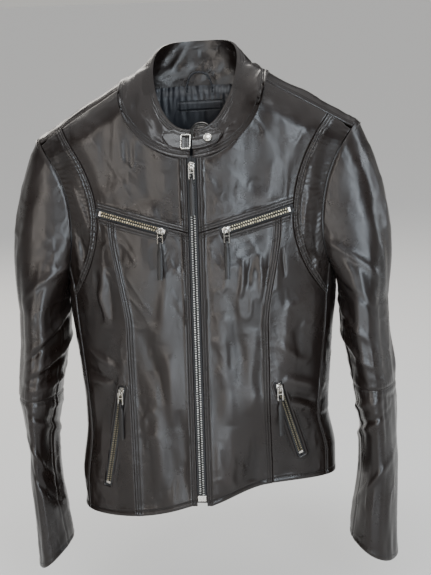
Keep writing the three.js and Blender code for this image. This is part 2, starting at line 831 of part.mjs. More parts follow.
// a leather strip doubled round the lower bar of the pull, seen from the side
function thongShape() {
  const hole = pullBar / 2 + thongClear;
  const eye = hole + thongSkin;
  const corner = eye * Math.tan(Math.PI / 8);
  const tail = thongSkin;
  const shape = new THREE.Shape([
    new THREE.Vector2(-eye, -corner),
    new THREE.Vector2(-corner, -eye),
    new THREE.Vector2(corner, -eye),
    new THREE.Vector2(eye + eyeTaper, -tail),
    new THREE.Vector2(thongLength, -tail),
    new THREE.Vector2(thongLength, tail),
    new THREE.Vector2(eye + eyeTaper, tail),
    new THREE.Vector2(corner, eye),
    new THREE.Vector2(-corner, eye),
    new THREE.Vector2(-eye, corner),
  ]);
  shape.holes.push(rectangle(new THREE.Path(), -hole, hole, -hole, hole));
  const strip = new THREE.ExtrudeGeometry(shape, { depth: thongWidth, bevelEnabled: false });
  strip.translate(0, 0, -thongWidth / 2);
  // outline X runs down the thong and outline Y out of the jacket
  return strip.applyMatrix4(new THREE.Matrix4().makeBasis(vec(0, 1, 0), vec(0, 0, 1), vec(1, 0, 0)));
}

const tapeOut = zipEdge - tapeGap;
const rowOut = chainWidth / 2;
const rowIn = chainSplit / 2;

// tape and teeth of a pocket zip in one piece, a frame round the slot that the post runs in
function chainShape(length) {
  const above = sliderLength / 2 + 1;
  const end = 3;
  const total = length + above + end * 2;
  const middle = (length - above) / 2 + end;
  const slotLength = length + above;
  const strip = box(2 * tapeOut, total, tapeThick, [0, middle, rowMiddle]);
  const rows = box(chainWidth, slotLength + end, chainThick, [0, (length - above) / 2 + end / 2, rowMiddle]);
  const slotPlace = [0, (length - above) / 2, rowMiddle];
  const slot = box(chainSplit, slotLength + sliderLength / 2, 2 * chainThick + 2, slotPlace);
  return cut(joined(strip, rows), slot);
}

for (const zip of zips) {
  const basis = zipBasis(zip);
  add(`${zip.name}_slider`, sliderShape(zip), nickel);
  add(`${zip.name}_pull`, pullShape(), nickel, pullBasis(zip, 0));
  add(`${zip.name}_thong`, thongShape(), blackLeather, pullBasis(zip, pullLength - pullBar));
  if (zip.wing !== 0) {
    add(`${zip.name}_chain`, chainShape(zip.length), brass, basis);
  }
}

const frontZip = zips[0];
const frontBasis = zipBasis(frontZip);
const rowRun = frontZip.length + sliderLength / 2 - 2;
for (const [side, wing] of wings) {
  const rowCentre = wing * (rowIn + rowOut) / 2;
  const run = rowRun / 2 - sliderLength / 2;
  const teeth = box(rowOut - rowIn, rowRun, chainThick, [rowCentre, run, rowMiddle]);
  add(`front_zip_teeth_${side}`, teeth, nickel, frontBasis);
  const tapeCentre = wing * (rowOut + 0.3 + tapeOut) / 2;
  const tapeRun = rowRun - 2;
  const tape = box(tapeOut - rowOut - 0.3, tapeRun, tapeThick, [tapeCentre, run, rowMiddle]);
  add(`front_zip_tape_${side}`, tape, blackTape, frontBasis);
}
const boxLength = 7;
const boxProud = 0.4;
const boxStart = rowRun - sliderLength / 2 + endGap;
const boxPlace = [0, boxStart + boxLength / 2, rowMiddle];
add('front_zip_box', box(zipOpening - 2, boxLength, chainThick + boxProud, boxPlace), nickel, frontBasis);

for (const [side, wing] of wings) {
  frontPanels(side, wing);
  add(`back_side_${side}`, backSide(wing, 0, leather, 10, 12), blackLeather);
}

// ---- lining ----------------------------------------------------------------------------------
const liningFrom = liningInset;
const liningTo = liningInset + liningThick;
const liningLayer = { from: liningFrom, to: liningTo };
const liningZipOut = zipEdge + 8;
const liningHem = hemZ + 14;
const liningSideTop = -armpitDrop - 6;
for (const [side, wing] of wings) {
  const rimTop = seamZ(shoulderHalf) - 4;
  add(`front_lining_${side}`, patch({
    ...liningLayer,
    left: (v) => byAngle(liningZipOut, mix(liningHem, neckZ(liningZipOut) - 2, v)),
    right: (v) => {
      const z = mix(liningHem, rimTop, v);
      return byAngle(Math.min(armholeOut(z), sideSeamOut(Math.min(z, liningSideTop)) - 4), z);
    },
    low: (u) => byAngle(mix(liningZipOut, sideSeamOut(liningHem) - 4, u), liningHem),
    high: (u) => {
      const end = Math.min(armholeOut(rimTop), sideSeamOut(liningSideTop) - 4);
      const out = mix(liningZipOut, end, u);
      const z = out < neckHalf - 6 ? Math.min(neckZ(out + 5), seamZ(out) - 4) - 9 : seamZ(out) - 11;
      return byAngle(out, u === 1 ? rimTop : z);
    },
    place: ([angle, z], inset) => shell(wing, angle, z, inset),
    cols: 8,
    rows: 11,
  }), satin);
}

const liningBackTop = -neckDropBack - 4;
add('back_lining', patch({
  ...liningLayer,
  left: (v) => [-liningBackOut(v), mix(liningHem, liningBackTop, v)],
  right: (v) => [liningBackOut(v), mix(liningHem, liningBackTop, v)],
  low: (u) => [mix(-1, 1, u) * liningBackOut(0), liningHem],
  high: (u) => {
    const x = mix(-1, 1, u) * liningBackOut(1);
    return [x, liningBackTop];
  },
  place: backSpot,
  cols: 8,
  rows: 9,
}), satin);

function liningBackOut(v) {
  const z = mix(liningHem, liningBackTop, v);
  if (z < liningSideTop) return halfWidth(z) - 2;
  const topOut = neckHalf - 8;
  return mix(halfWidth(liningSideTop) - 2, topOut, ease(liningSideTop, liningBackTop, z));
}

// ---- pocket bags -----------------------------------------------------------------------------
for (const [side, wing] of wings) {
  const bag = { from: bagInset, to: bagInset + bagThick, cols: 3, rows: 5 };
  const place = ([angle, z], inset) => shell(wing, angle, z, inset);
  const under = zipOpening;
  const chestLow = -bustDrop - 12;
  const bagTop = (out) => chestZipZ(out) - under;
  const block = (in0, out0, low, high) => ({
    left: (v) => byAngle(in0, mix(low(in0), high(in0), v)),
    right: (v) => byAngle(out0, mix(low(out0), high(out0), v)),
    low: (u) => byAngle(mix(in0, out0, u), low(mix(in0, out0, u))),
    high: (u) => byAngle(mix(in0, out0, u), high(mix(in0, out0, u))),
    place,
  });
  add(`chest_pocket_bag_${side}`, patch({
    ...bag,
    ...block(chestZipInOut - 8, chestZipOutOut - 10, () => chestLow, bagTop),
  }), satin);
  add(`hand_pocket_bag_${side}`, patch({
    ...bag,
    ...block(zipEdge + 12, handZipTopOut - under, () => hemZ + 28, () => hemZ + handZipTopAboveHem + 8),
  }), satin);
}

// ---- sleeves ---------------------------------------------------------------------------------
const tipZ = -shoulderDrop;
const elbowZ = tipZ - elbowBelowTip;
const cuffOuterZ = tipZ - sleeveLength;
const armLine = through([
  [-armpitDrop, 0],
  [-armpitDrop - 65, 0],
  [elbowZ, 13],
  [elbowZ - 60, 21],
  [elbowZ - 90, 21],
  [cuffOuterZ, 6],
]);
const armWidth = through([
  [-armpitDrop, 58],
  [-armpitDrop - 65, 60],
  [elbowZ, 53],
  [elbowZ - 65, 47],
  [elbowZ - 110, 50],
  [cuffOuterZ, 60],
]);
const armDepth = through([
  [-armpitDrop, 62],
  [elbowZ, 56],
  [cuffOuterZ, 46],
]);
const armForward = through([
  [-armpitDrop, -2],
  [elbowZ, -8],
  [cuffOuterZ, -20],
]);
const fullness = { left: 0.72, right: 1 };
const upperOutline = through([
  [tipZ, 2],
  [tipZ - 22, 16],
  [tipZ - 60, 25],
  [-armpitDrop, 34],
]);

const ringCount = 16;
const armTilt = shoulderTilt * shoulderHalf;

// a ring of the sleeve at a height, below the armpit
function armRing(side, wing, z, inset, slant) {
  const narrow = mix(1, fullness[side], ease(elbowZ + 10, elbowZ - 80, z));
  const width = armWidth(z) * narrow;
  const innerOut = chestHalf + armClear + armLine(z);
  const ring = [];
  for (let k = 0; k < ringCount; k += 1) {
    const turn = (k / ringCount) * 2 * Math.PI;
    const x = innerOut + width / 2 + (width / 2 - inset) * Math.cos(turn);
    const y = armForward(z) - (armDepth(z) - inset) * Math.sin(turn);
    ring.push(vec(wing * x, y, z - slant * Math.cos(turn) + wing * armTilt));
  }
  return ring;
}

// the sleeve's first ring, on the armhole of the body
function armholeRing(wing, inset) {
  const ring = [];
  const middle = (tipZ - armpitDrop) / 2;
  const half = (tipZ + armpitDrop) / 2;
  for (let k = 0; k < ringCount; k += 1) {
    const turn = (k / ringCount) * 2 * Math.PI;
    const z = middle + half * Math.cos(turn);
    const out = armholeOut(z);
    const front = Math.sin(turn) >= 0;
    const angle = Math.max(tiny, angleAt(out, z));
    const p = shell(wing, front ? angle : -angle, z, 0);
    const centre = vec(p.x, 0, middle + lean(p.x, middle));
    const inward = centre.sub(p).setX(0);
    p.addScaledVector(inward.normalize(), inset);
    p.x += wing * armholeGap;
    ring.push(p);
  }
  return ring;
}

const headRise = 9;              // crown of the sleeve head over a straight line

// a ring of the sleeve head, between the armhole and the first full ring below the armpit
function headRing(wing, t, inset, first, full) {
  return first.map((p, k) => {
    const turn = (k / ringCount) * 2 * Math.PI;
    const q = full[k];
    const across = Math.sin(t * Math.PI / 2);
    const side = (1 + Math.cos(turn)) / 2;
    const outline = Math.sin(Math.PI * t) * headRise * side;
    return vec(mix(p.x, q.x, mix(t, across, side)) + wing * outline, mix(p.y, q.y, t), mix(p.z, q.z, t));
  });
}

const headSteps = 5;
function upperSleeve(side, wing, from, to) {
  const build = (inset) => {
    const first = armholeRing(wing, inset);
    const full = armRing(side, wing, -armpitDrop - 30, inset, 0);
    const rings = [];
    for (let k = 0; k <= headSteps; k += 1) rings.push(headRing(wing, k / headSteps, inset, first, full));
    for (const share of [0.5, 1]) {
      rings.push(armRing(side, wing, mix(-armpitDrop - 30, elbowZ, share), inset, 0));
    }
    return rings;
  };
  return tubeSolid(build(from), build(to));
}

function lowerSleeve(side, wing, from, to) {
  const build = (inset) => {
    const rings = [];
    const steps = 4;
    const low = cuffOuterZ + cuffSlant;
    for (let k = 0; k <= steps; k += 1) {
      const share = k / steps;
      rings.push(armRing(side, wing, mix(elbowZ - elbowGap, low, share), inset, cuffSlant * share ** 2));
    }
    return rings;
  };
  return tubeSolid(build(from), build(to));
}

const armLining = { from: leather + 0.6, to: leather + 1.6 };
for (const [side, wing] of wings) {
  add(`upper_sleeve_${side}`, upperSleeve(side, wing, 0, leather), blackLeather);
  add(`lower_sleeve_${side}`, lowerSleeve(side, wing, 0, leather), blackLeather);
  add(`upper_sleeve_lining_${side}`, upperSleeve(side, wing, armLining.from, armLining.to), satin);
  add(`lower_sleeve_lining_${side}`, lowerSleeve(side, wing, armLining.from, armLining.to), satin);
}

// ---- collar ----------------------------------------------------------------------------------
const collarEndTurn = 0.02;
const collarSteps = 24;

// the neck seam at a turn from the front centre (0) through the side to the back (pi)
function neckSeam(turn, inset) {
  const around = Math.abs(turn);
  const out = neckHalf * Math.sin(around);
  const x = signOf(turn) * out;
  const front = around < Math.PI / 2;
  const drop = front ? neckDropFront : neckDropBack;
  const z = -drop * Math.abs(Math.cos(around));
  return front ? frontPoint(x || tiny, z, inset) : backPoint(x || tiny, z, inset);
}

function collarTop(turn, inset) {
  const around = Math.abs(turn);
  const out = (collarTopHalf - inset) * Math.sin(around) ** 0.8;
  const topFront = -neckDropFront + collarHeightFront;
  const rise = ((1 + Math.cos(around)) / 2) ** 2;
  const frontY = -(frontDepthTop - collarLean) + inset;
  const backY = backDepthTop + 2 - inset;
  const x = signOf(turn) * out;
  const z = mix(collarTopBack, topFront, rise) + shoulderTilt * x;
  return vec(x, mix(backY, frontY, (1 + Math.cos(around)) / 2), z);
}

// a point of the collar, share 0 at the seam and 1 at the top edge, raised off its outer face
function collarSpot(turn, share, inset) {
  return neckSeam(turn, inset).lerp(collarTop(turn, inset), share);
}

const seamShare = 0.05;

// turn along the collar from its right front end round the back to its left front end
function collarTurn(share) {
  const turn = mix(collarEndTurn, 2 * Math.PI - collarEndTurn, share);
  return turn <= Math.PI ? turn : turn - 2 * Math.PI;
}

function collarSheet(from, to, shares, turnOf, steps) {
  const build = (inset) => shares.map((share) => {
    const row = [];
    for (let k = 0; k <= steps; k += 1) row.push(collarSpot(turnOf(k / steps), share, inset));
    return row;
  });
  return sheetSolid(build(from), build(to), tiny);
}

add('collar', collarSheet(0, collarThick, [seamShare, 0.35, 0.7, 1], collarTurn, collarSteps), blackLeather);

// pointed patches sewn over both front ends of the collar
const patchThick = 1;
const patchClear = 0.9;
const patchEnd = 0.5;
for (const [side, wing] of wings) {
  const turnOf = (share) => wing * mix(collarEndTurn + 0.02, patchEnd, share);
  const build = (inset) => [0, 0.33, 0.67, 1].map((v) => {
    const row = [];
    for (let k = 0; k <= 5; k += 1) {
      const u = k / 5;
      const narrow = 1 - 0.75 * Math.max(0, u - 0.6) / 0.4;
      row.push(collarSpot(turnOf(u), 0.52 + (v - 0.5) * 0.72 * narrow, inset));
    }
    return row;
  });
  const sewnPatch = sheetSolid(build(-patchClear - patchThick), build(-patchClear), tiny);
  add(`collar_tab_base_${side}`, sewnPatch, blackLeather);
}

// the tab that closes the collar over its front ends, and the ring that it passes through
const tabStandoff = patchClear + patchThick + strapClear;
const tabMiddle = 0.5;
const tabHalfShare = 0.22;
const tabStart = 0.01;
const faceShrink = 0.98;         // the collar's face at the tab against its seam
const tabReach = strapLength / neckHalf / faceShrink;
const tabGrid = (standoff) => [0, 0.33, 0.67, 1].map((v) => {
  const row = [];
  for (let k = 0; k <= 6; k += 1) {
    const u = k / 6;
    const narrow = 1 - 0.7 * Math.max(0, u - 0.7) / 0.3;
    const share = tabMiddle + (v - 0.5) * 2 * tabHalfShare * narrow;
    row.push(collarSpot(mix(tabStart, tabReach, u), share, -standoff));
  }
  return row;
});
add('collar_tab', sheetSolid(tabGrid(tabStandoff + strapThick), tabGrid(tabStandoff), tiny), blackLeather);

// directions on the collar's face at a turn
function collarAxes(turn, share) {
  const spot = collarSpot(turn, share, 0);
  const up = collarSpot(turn, 1, 0).sub(collarSpot(turn, 0, 0)).normalize();
  const step = 0.03;
  const across = collarSpot(turn + step, share, 0).sub(spot).normalize();
  const out = across.clone().cross(up).normalize();
  if (out.y > 0) out.negate();
  return { spot, up, across: up.clone().cross(out).normalize(), out };
}

const capTurn = 0.26;
const capAxes = collarAxes(capTurn, tabMiddle);
const capLift = tabStandoff + strapThick + 0.4;
const capBasis = new THREE.Matrix4()
  .makeBasis(capAxes.across, capAxes.out, capAxes.across.clone().cross(capAxes.out))
  .setPosition(capAxes.spot.clone().addScaledVector(capAxes.out, capLift));
const capOutline = [
  [0, 0],
  [capRadius, 0],
  [capRadius, capHeight * 0.5],
  [capRadius * 0.7, capHeight],
  [0, capHeight],
];
const capProfile = capOutline.map(([r, h]) => new THREE.Vector2(r, h));
add('snap_cap', new THREE.LatheGeometry(capProfile, 16), nickel, capBasis);

const ringClear = 0.4;
const ringAxes = collarAxes(0.03, tabMiddle);
const ringSpot = ringAxes.spot.clone().addScaledVector(ringAxes.out, tabStandoff + strapThick / 2);
ringSpot.x = -ringWidth / 2 - ringClear;
const halfWide = ringWidth / 2;
const halfHigh = ringHeight / 2;
const ringOutline = rectangle(new THREE.Shape(), -halfWide, halfWide, -halfHigh, halfHigh);
ringOutline.holes.push(rectangle(
  new THREE.Path(),
  -halfWide + ringWire,
  halfWide - ringWire,
  -halfHigh + ringWire,
  halfHigh - ringWire,
));
const ringSlope = Math.atan2(collarLean, collarHeightFront);
const ringGeometry = new THREE.ExtrudeGeometry(ringOutline, { depth: ringWire, bevelEnabled: false });
ringGeometry.translate(0, 0, -ringWire / 2);
const ringBasis = new THREE.Matrix4()
  .makeBasis(
    vec(1, 0, 0),
    vec(0, Math.sin(ringSlope), Math.cos(ringSlope)),
    vec(0, -Math.cos(ringSlope), Math.sin(ringSlope)),
  )
  .setPosition(ringSpot);
add('tab_ring', ringGeometry, nickel, ringBasis);

// ---- inside the back of the neck -------------------------------------------------------------
function onBackLining(x, drop, standoff) {
  return backPoint(x || tiny, -drop, liningTo + standoff);
}
const lift = 0.6;
const badgeSpot = onBackLining(0, badgeDrop, lift + badgeThick + 0.8);
const badgeRim = 1.5;
const badgeOutline = [
  [0, 0],
  [badgeRadius, 0],
  [badgeRadius, badgeThick * 0.6],
  [badgeRadius - badgeRim, badgeThick],
  [0, badgeThick],
];
const badgeProfile = badgeOutline
  .map(([r, h]) => new THREE.Vector2(r, h));
const badge = new THREE.LatheGeometry(badgeProfile, 20).rotateX(Math.PI);
badge.translate(0, badgeThick, 0);
add('neck_badge', badge, bronze, new THREE.Matrix4().setPosition(badgeSpot));

const labelHalf = 30;
const labelHigh = 14;
const labelDrop = 42;
add('neck_label', patch({
  left: (v) => [-labelHalf, mix(-labelDrop - labelHigh / 2, -labelDrop + labelHigh / 2, v)],
  right: (v) => [labelHalf, mix(-labelDrop - labelHigh / 2, -labelDrop + labelHigh / 2, v)],
  low: (u) => [mix(-labelHalf, labelHalf, u), -labelDrop - labelHigh / 2],
  high: (u) => [mix(-labelHalf, labelHalf, u), -labelDrop + labelHigh / 2],
  place: backSpot,
  from: liningTo + lift,
  to: liningTo + lift + 0.8,
  cols: 4,
  rows: 2,
  trim: tiny,
}), satin);

const loopBack = onBackLining(0, neckDropBack + 8, lift + loopWire).y;
const loopFoot = -neckDropBack - 6;
const loopLine = new THREE.CatmullRomCurve3([
  vec(-loopHalf, loopBack, loopFoot),
  vec(-loopHalf * 0.92, loopBack - 1, loopFoot + loopRise * 0.45),
  vec(0, loopBack - 2, loopFoot + loopRise),
  vec(loopHalf * 0.92, loopBack - 1, loopFoot + loopRise * 0.45),
  vec(loopHalf, loopBack, loopFoot),
]);
const loopSection = new THREE.Shape();
loopSection.absarc(0, 0, loopWire / 2, 0, 2 * Math.PI, false);
add('hang_loop', new THREE.ExtrudeGeometry(loopSection, {
  steps: 12,
  curveSegments: 3,
  bevelEnabled: false,
  extrudePath: loopLine,
}), satin);

export default jacket;
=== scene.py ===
import json
import math

import bpy
import numpy as np
from mathutils import Matrix, Vector


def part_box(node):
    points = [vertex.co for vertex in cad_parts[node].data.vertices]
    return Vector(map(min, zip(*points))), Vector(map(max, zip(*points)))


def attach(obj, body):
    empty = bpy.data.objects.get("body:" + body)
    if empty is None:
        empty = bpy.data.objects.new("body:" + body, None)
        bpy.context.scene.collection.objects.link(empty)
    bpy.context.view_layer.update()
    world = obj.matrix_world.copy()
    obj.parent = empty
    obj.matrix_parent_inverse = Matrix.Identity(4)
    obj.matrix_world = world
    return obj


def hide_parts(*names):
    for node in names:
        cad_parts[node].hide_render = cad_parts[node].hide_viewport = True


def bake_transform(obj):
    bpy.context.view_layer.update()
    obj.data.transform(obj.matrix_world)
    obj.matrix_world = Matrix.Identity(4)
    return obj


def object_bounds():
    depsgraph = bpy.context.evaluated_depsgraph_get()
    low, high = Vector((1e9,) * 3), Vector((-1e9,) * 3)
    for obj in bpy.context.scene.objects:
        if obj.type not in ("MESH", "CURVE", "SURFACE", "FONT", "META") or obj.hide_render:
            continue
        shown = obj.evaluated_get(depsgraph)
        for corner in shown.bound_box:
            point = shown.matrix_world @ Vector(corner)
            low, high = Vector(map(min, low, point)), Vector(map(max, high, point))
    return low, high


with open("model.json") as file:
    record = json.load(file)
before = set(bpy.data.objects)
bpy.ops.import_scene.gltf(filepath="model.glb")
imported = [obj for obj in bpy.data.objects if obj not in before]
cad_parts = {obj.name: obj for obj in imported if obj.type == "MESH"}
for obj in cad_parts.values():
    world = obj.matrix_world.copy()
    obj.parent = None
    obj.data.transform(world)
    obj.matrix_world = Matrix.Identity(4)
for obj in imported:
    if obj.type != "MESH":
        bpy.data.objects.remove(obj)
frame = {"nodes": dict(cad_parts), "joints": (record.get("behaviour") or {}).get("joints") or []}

# Leather riding jacket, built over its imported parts. Sizes are in millimetres until a mesh is made.
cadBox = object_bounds()
joints = {joint["name"]: joint for joint in frame["joints"]}
mm = 0.001
tiny = 1e-6
wings = (("left", -1), ("right", 1))

# camera, floor and light
lens = {
    "distance": 2000, "elevation": 12, "swing": 7, "roll": 2.2,
    "aimHeight": -290, "aimRight": 12, "aimUp": 20.5, "focal": 1600, "frameHeight": 575,
}


def placeCamera():
    up = math.radians(lens["elevation"])
    swing = math.radians(lens["swing"])
    roll = math.radians(lens["roll"])
    forward = Vector((-math.sin(swing) * math.cos(up), math.cos(swing) * math.cos(up), -math.sin(up)))
    right = Vector((math.cos(swing), math.sin(swing), 0))
    above = right.cross(forward)
    place = (Vector((0, 0, lens["aimHeight"])) - forward * lens["distance"]) * mm
    rolledRight = right * math.cos(roll) - above * math.sin(roll)
    rolledUp = right * math.sin(roll) + above * math.cos(roll)
    aside, aloft = lens["aimRight"] / lens["focal"], lens["aimUp"] / lens["focal"]
    look = (forward + rolledRight * aside + rolledUp * aloft).normalized()
    across = (rolledRight - look * rolledRight.dot(look)).normalized()
    top = across.cross(look)
    data = bpy.data.cameras.new("studioCamera")
    data.sensor_width = 36
    data.lens = data.sensor_width * lens["focal"] / lens["frameHeight"]
    camera = bpy.data.objects.new("studioCamera", data)
    bpy.context.scene.collection.objects.link(camera)
    turn = Matrix((across, top, -look)).transposed().to_4x4()
    camera.matrix_world = Matrix.Translation(place) @ turn
    bpy.context.scene.camera = camera


# position, aim, size (width, height) in metres, power and colour of each soft lamp
lamps = {
    "windowRight": {"at": (0.85, -2.4, 0.2), "size": (0.6, 1.1), "power": 38, "colour": (0.80, 0.90, 1.0)},
    "roomLeft": {"at": (-1.05, -2.3, 0.0), "size": (0.4, 1.1), "power": 14, "colour": (1.0, 0.93, 0.86)},
    "tableFront": {"at": (0.1, -1.9, -0.62), "size": (1.1, 0.4), "power": 12, "colour": (0.86, 0.93, 1.0)},
    "overhead": {"at": (-0.1, -1.1, 1.8), "size": (1.3, 0.45), "power": 27, "colour": (0.90, 0.95, 1.0)},
    "windowFar": {"at": (1.9, 0.5, 0.4), "size": (0.5, 1.5), "power": 20, "colour": (0.84, 0.92, 1.0)},
    "behind": {"at": (-0.9, 2.0, 1.0), "size": (1.6, 1.2), "power": 34, "colour": (1.0, 0.95, 0.88)},
}


def placeLamps():
    for name, lamp in lamps.items():
        data = bpy.data.lights.new(name, "AREA")
        data.shape = "RECTANGLE"
        data.size, data.size_y = lamp["size"]
        data.energy = lamp["power"]
        data.color = lamp["colour"]
        light = bpy.data.objects.new(name, data)
        light.location = lamp["at"]
        aim = Vector((0, 0, -0.3)) - light.location
        light.rotation_euler = aim.to_track_quat("-Z", "Y").to_euler()
        bpy.context.scene.collection.objects.link(light)


def ramp(nodes, stops):
    node = nodes.new("ShaderNodeValToRGB")
    elements = node.color_ramp.elements
    elements[0].position, elements[1].position = stops[0][0], stops[-1][0]
    elements[0].color, elements[1].color = (*stops[0][1], 1), (*stops[-1][1], 1)
    for position, colour in stops[1:-1]:
        elements.new(position).color = (*colour, 1)
    return node


# the light from all round: bright at the floor line and overhead, dim between
room = {
    "line": (1.3, 1.28, 1.22), "low": (0.07, 0.07, 0.075), "zenith": (2.6, 2.6, 2.6), "strength": 0.42,
    "drop": 0.08, "floorHalf": 40, "floorPaint": (0.66, 0.655, 0.64), "floorRough": 0.9,
}


def makeRoom():
    world = bpy.data.worlds.new("studio")
    bpy.context.scene.world = world
    world.use_nodes = True
    nodes, links = world.node_tree.nodes, world.node_tree.links
    back = nodes["Background"]
    back.inputs["Strength"].default_value = room["strength"]
    where = nodes.new("ShaderNodeTexCoord")
    split = nodes.new("ShaderNodeSeparateXYZ")
    line, low, zenith = room["line"], room["low"], room["zenith"]
    sky = ramp(nodes, [(0.0, line), (0.045, line), (0.12, low), (0.3, low), (0.75, zenith)])
    links.new(where.outputs["Generated"], split.inputs[0])
    links.new(split.outputs["Z"], sky.inputs[0])
    links.new(sky.outputs[0], back.inputs["Color"])
    ground, half = cadBox[0].z - room["drop"], room["floorHalf"]
    corners = [(-half, -half, ground), (half, -half, ground), (half, half, ground), (-half, half, ground)]
    mesh = bpy.data.meshes.new("floor")
    mesh.from_pydata(corners, [], [(0, 1, 2, 3)])
    floor = bpy.data.objects.new("floor", mesh)
    bpy.context.scene.collection.objects.link(floor)
    paint = bpy.data.materials.new("paleFloor")
    paint.use_nodes = True
    shader = paint.node_tree.nodes["Principled BSDF"]
    shader.inputs["Base Color"].default_value = (*room["floorPaint"], 1)
    shader.inputs["Roughness"].default_value = room["floorRough"]
    mesh.materials.append(paint)


placeCamera()
placeLamps()
makeRoom()
print("camera, lamps and floor are set")

# materials
def startMaterial(name):
    material = bpy.data.materials.new(name)
    material.use_nodes = True
    nodes, links = material.node_tree.nodes, material.node_tree.links
    place = nodes.new("ShaderNodeTexCoord").outputs["Object"]
    return material, nodes, links, nodes["Principled BSDF"], place


def addNode(nodes, kind, settings=None, **values):
    node = nodes.new(kind)
    for key, value in (settings or {}).items():
        setattr(node, key, value)
    for key, value in values.items():
        node.inputs[key.replace("_", " ")].default_value = value
    return node


def setInputs(node, **values):
    for key, value in values.items():
        node.inputs[key.replace("_", " ")].default_value = value


def addNoise(nodes, links, place, **values):
    node = addNode(nodes, "ShaderNodeTexNoise", None, **values)
    links.new(place, node.inputs["Vector"])
    return node


def addGloss(nodes, links, shader, driver, rough):
    gloss = addNode(nodes, "ShaderNodeMapRange", None, From_Min=0.3, From_Max=0.7)
    setInputs(gloss, To_Min=rough[0], To_Max=rough[1])
    links.new(driver.outputs["Fac"], gloss.inputs["Value"])
    links.new(gloss.outputs["Result"], shader.inputs["Roughness"])


def addBump(nodes, links, height, strength, distance):
    bump = addNode(nodes, "ShaderNodeBump", None, Strength=strength, Distance=distance)
    links.new(height, bump.inputs["Height"])
    return bump


def leatherMaterial(name, tone):
    material, nodes, links, shader, place = startMaterial(name)
    # dye that pooled unevenly, browner in the hollows
    cloud = addNoise(nodes, links, place, Scale=tone["cloudScale"], Detail=4.0, Roughness=0.6)
    dye = ramp(nodes, [(0.34, tone["deep"]), (0.5, tone["main"]), (0.68, tone["pale"])])
    links.new(cloud.outputs["Fac"], dye.inputs[0])
    # a lighter tone mixed in by a per-point amount: painted highlight on fold crests and seam edges, with fold
    # hollows left darker as painted shade
    highlightMask = addNode(nodes, "ShaderNodeAttribute", {"attribute_name": "highlightAmount"})
    highlighted = addNode(nodes, "ShaderNodeMix", {"data_type": "RGBA"})
    highlighted.inputs["B"].default_value = (*tone["highlight"], 1)
    links.new(dye.outputs[0], highlighted.inputs["A"])
    links.new(highlightMask.outputs["Fac"], highlighted.inputs["Factor"])
    links.new(highlighted.outputs["Result"], shader.inputs["Base Color"])
    # gloss: smooth patches and duller, dry ones
    patchy = addNoise(nodes, links, place, Scale=tone["cloudScale"] * 2.6, Detail=5.0, Roughness=0.65)
    addGloss(nodes, links, shader, patchy, tone["gloss"])
    # pebbled grain, pores and hairline creases
    bend = addNoise(nodes, links, place, Scale=160.0, Detail=2.0)
    shifted = addNode(nodes, "ShaderNodeMix", {"data_type": "VECTOR"}, Factor=0.0006)
    links.new(place, shifted.inputs["A"])
    links.new(bend.outputs["Color"], shifted.inputs["B"])
    pebble = addNode(nodes, "ShaderNodeTexVoronoi", {"feature": "DISTANCE_TO_EDGE"}, Scale=tone["grainScale"])
    links.new(shifted.outputs["Result"], pebble.inputs["Vector"])
    rounded = addNode(nodes, "ShaderNodeMapRange", {"interpolation_type": "SMOOTHSTEP"}, From_Max=0.28)
    links.new(pebble.outputs["Distance"], rounded.inputs["Value"])
    crease = addNoise(nodes, links, place, Scale=95.0, Detail=5.0, Roughness=0.55)
    fine = addBump(nodes, links, rounded.outputs["Result"], tone["grain"], 0.00018)
    broad = addBump(nodes, links, crease.outputs["Fac"], tone["crease"], 0.0011)
    links.new(fine.outputs["Normal"], broad.inputs["Normal"])
    links.new(broad.outputs["Normal"], shader.inputs["Normal"])
    setInputs(shader, Specular_IOR_Level=tone["specular"], IOR=1.47)
    setInputs(shader, Coat_Weight=tone["coat"], Coat_Roughness=0.34)
    return material


def clothMaterial(name, tone):
    material, nodes, links, shader, place = startMaterial(name)
    cloud = addNoise(nodes, links, place, Scale=22.0, Detail=4.0)
    dye = ramp(nodes, [(0.3, tone["deep"]), (0.7, tone["pale"])])
    links.new(cloud.outputs["Fac"], dye.inputs[0])
    links.new(dye.outputs[0], shader.inputs["Base Color"])
    crossed = addNode(nodes, "ShaderNodeMath", {"operation": "MAXIMUM"})
    for index, (lay, finer) in enumerate((("Z", 1), ("X", 1.1))):
        threads = addNode(nodes, "ShaderNodeTexWave", {"bands_direction": lay}, Distortion=0.4)
        threads.inputs["Scale"].default_value = tone["threads"] * finer
        links.new(place, threads.inputs["Vector"])
        links.new(threads.outputs["Fac"], crossed.inputs[index])
    bump = addBump(nodes, links, crossed.outputs[0], tone["weave"], 0.00012)
    links.new(bump.outputs["Normal"], shader.inputs["Normal"])
    setInputs(shader, Roughness=tone["rough"], Sheen_Weight=tone["sheen"], Sheen_Roughness=0.35)
    return material


def metalMaterial(name, tone):
    material, nodes, links, shader, place = startMaterial(name)
    cloud = addNoise(nodes, links, place, Scale=tone["patch"], Detail=5.0, Roughness=0.7)
    tarnish = ramp(nodes, [(0.3, tone["dark"]), (0.62, tone["bright"])])
    links.new(cloud.outputs["Fac"], tarnish.inputs[0])
    links.new(tarnish.outputs[0], shader.inputs["Base Color"])
    addGloss(nodes, links, shader, cloud, tone["gloss"][::-1])
    scratch = addNoise(nodes, links, place, Scale=1800.0, Detail=3.0)
    bump = addBump(nodes, links, scratch.outputs["Fac"], 0.12, 0.00005)
    links.new(bump.outputs["Normal"], shader.inputs["Normal"])
    setInputs(shader, Metallic=1.0)
    return material
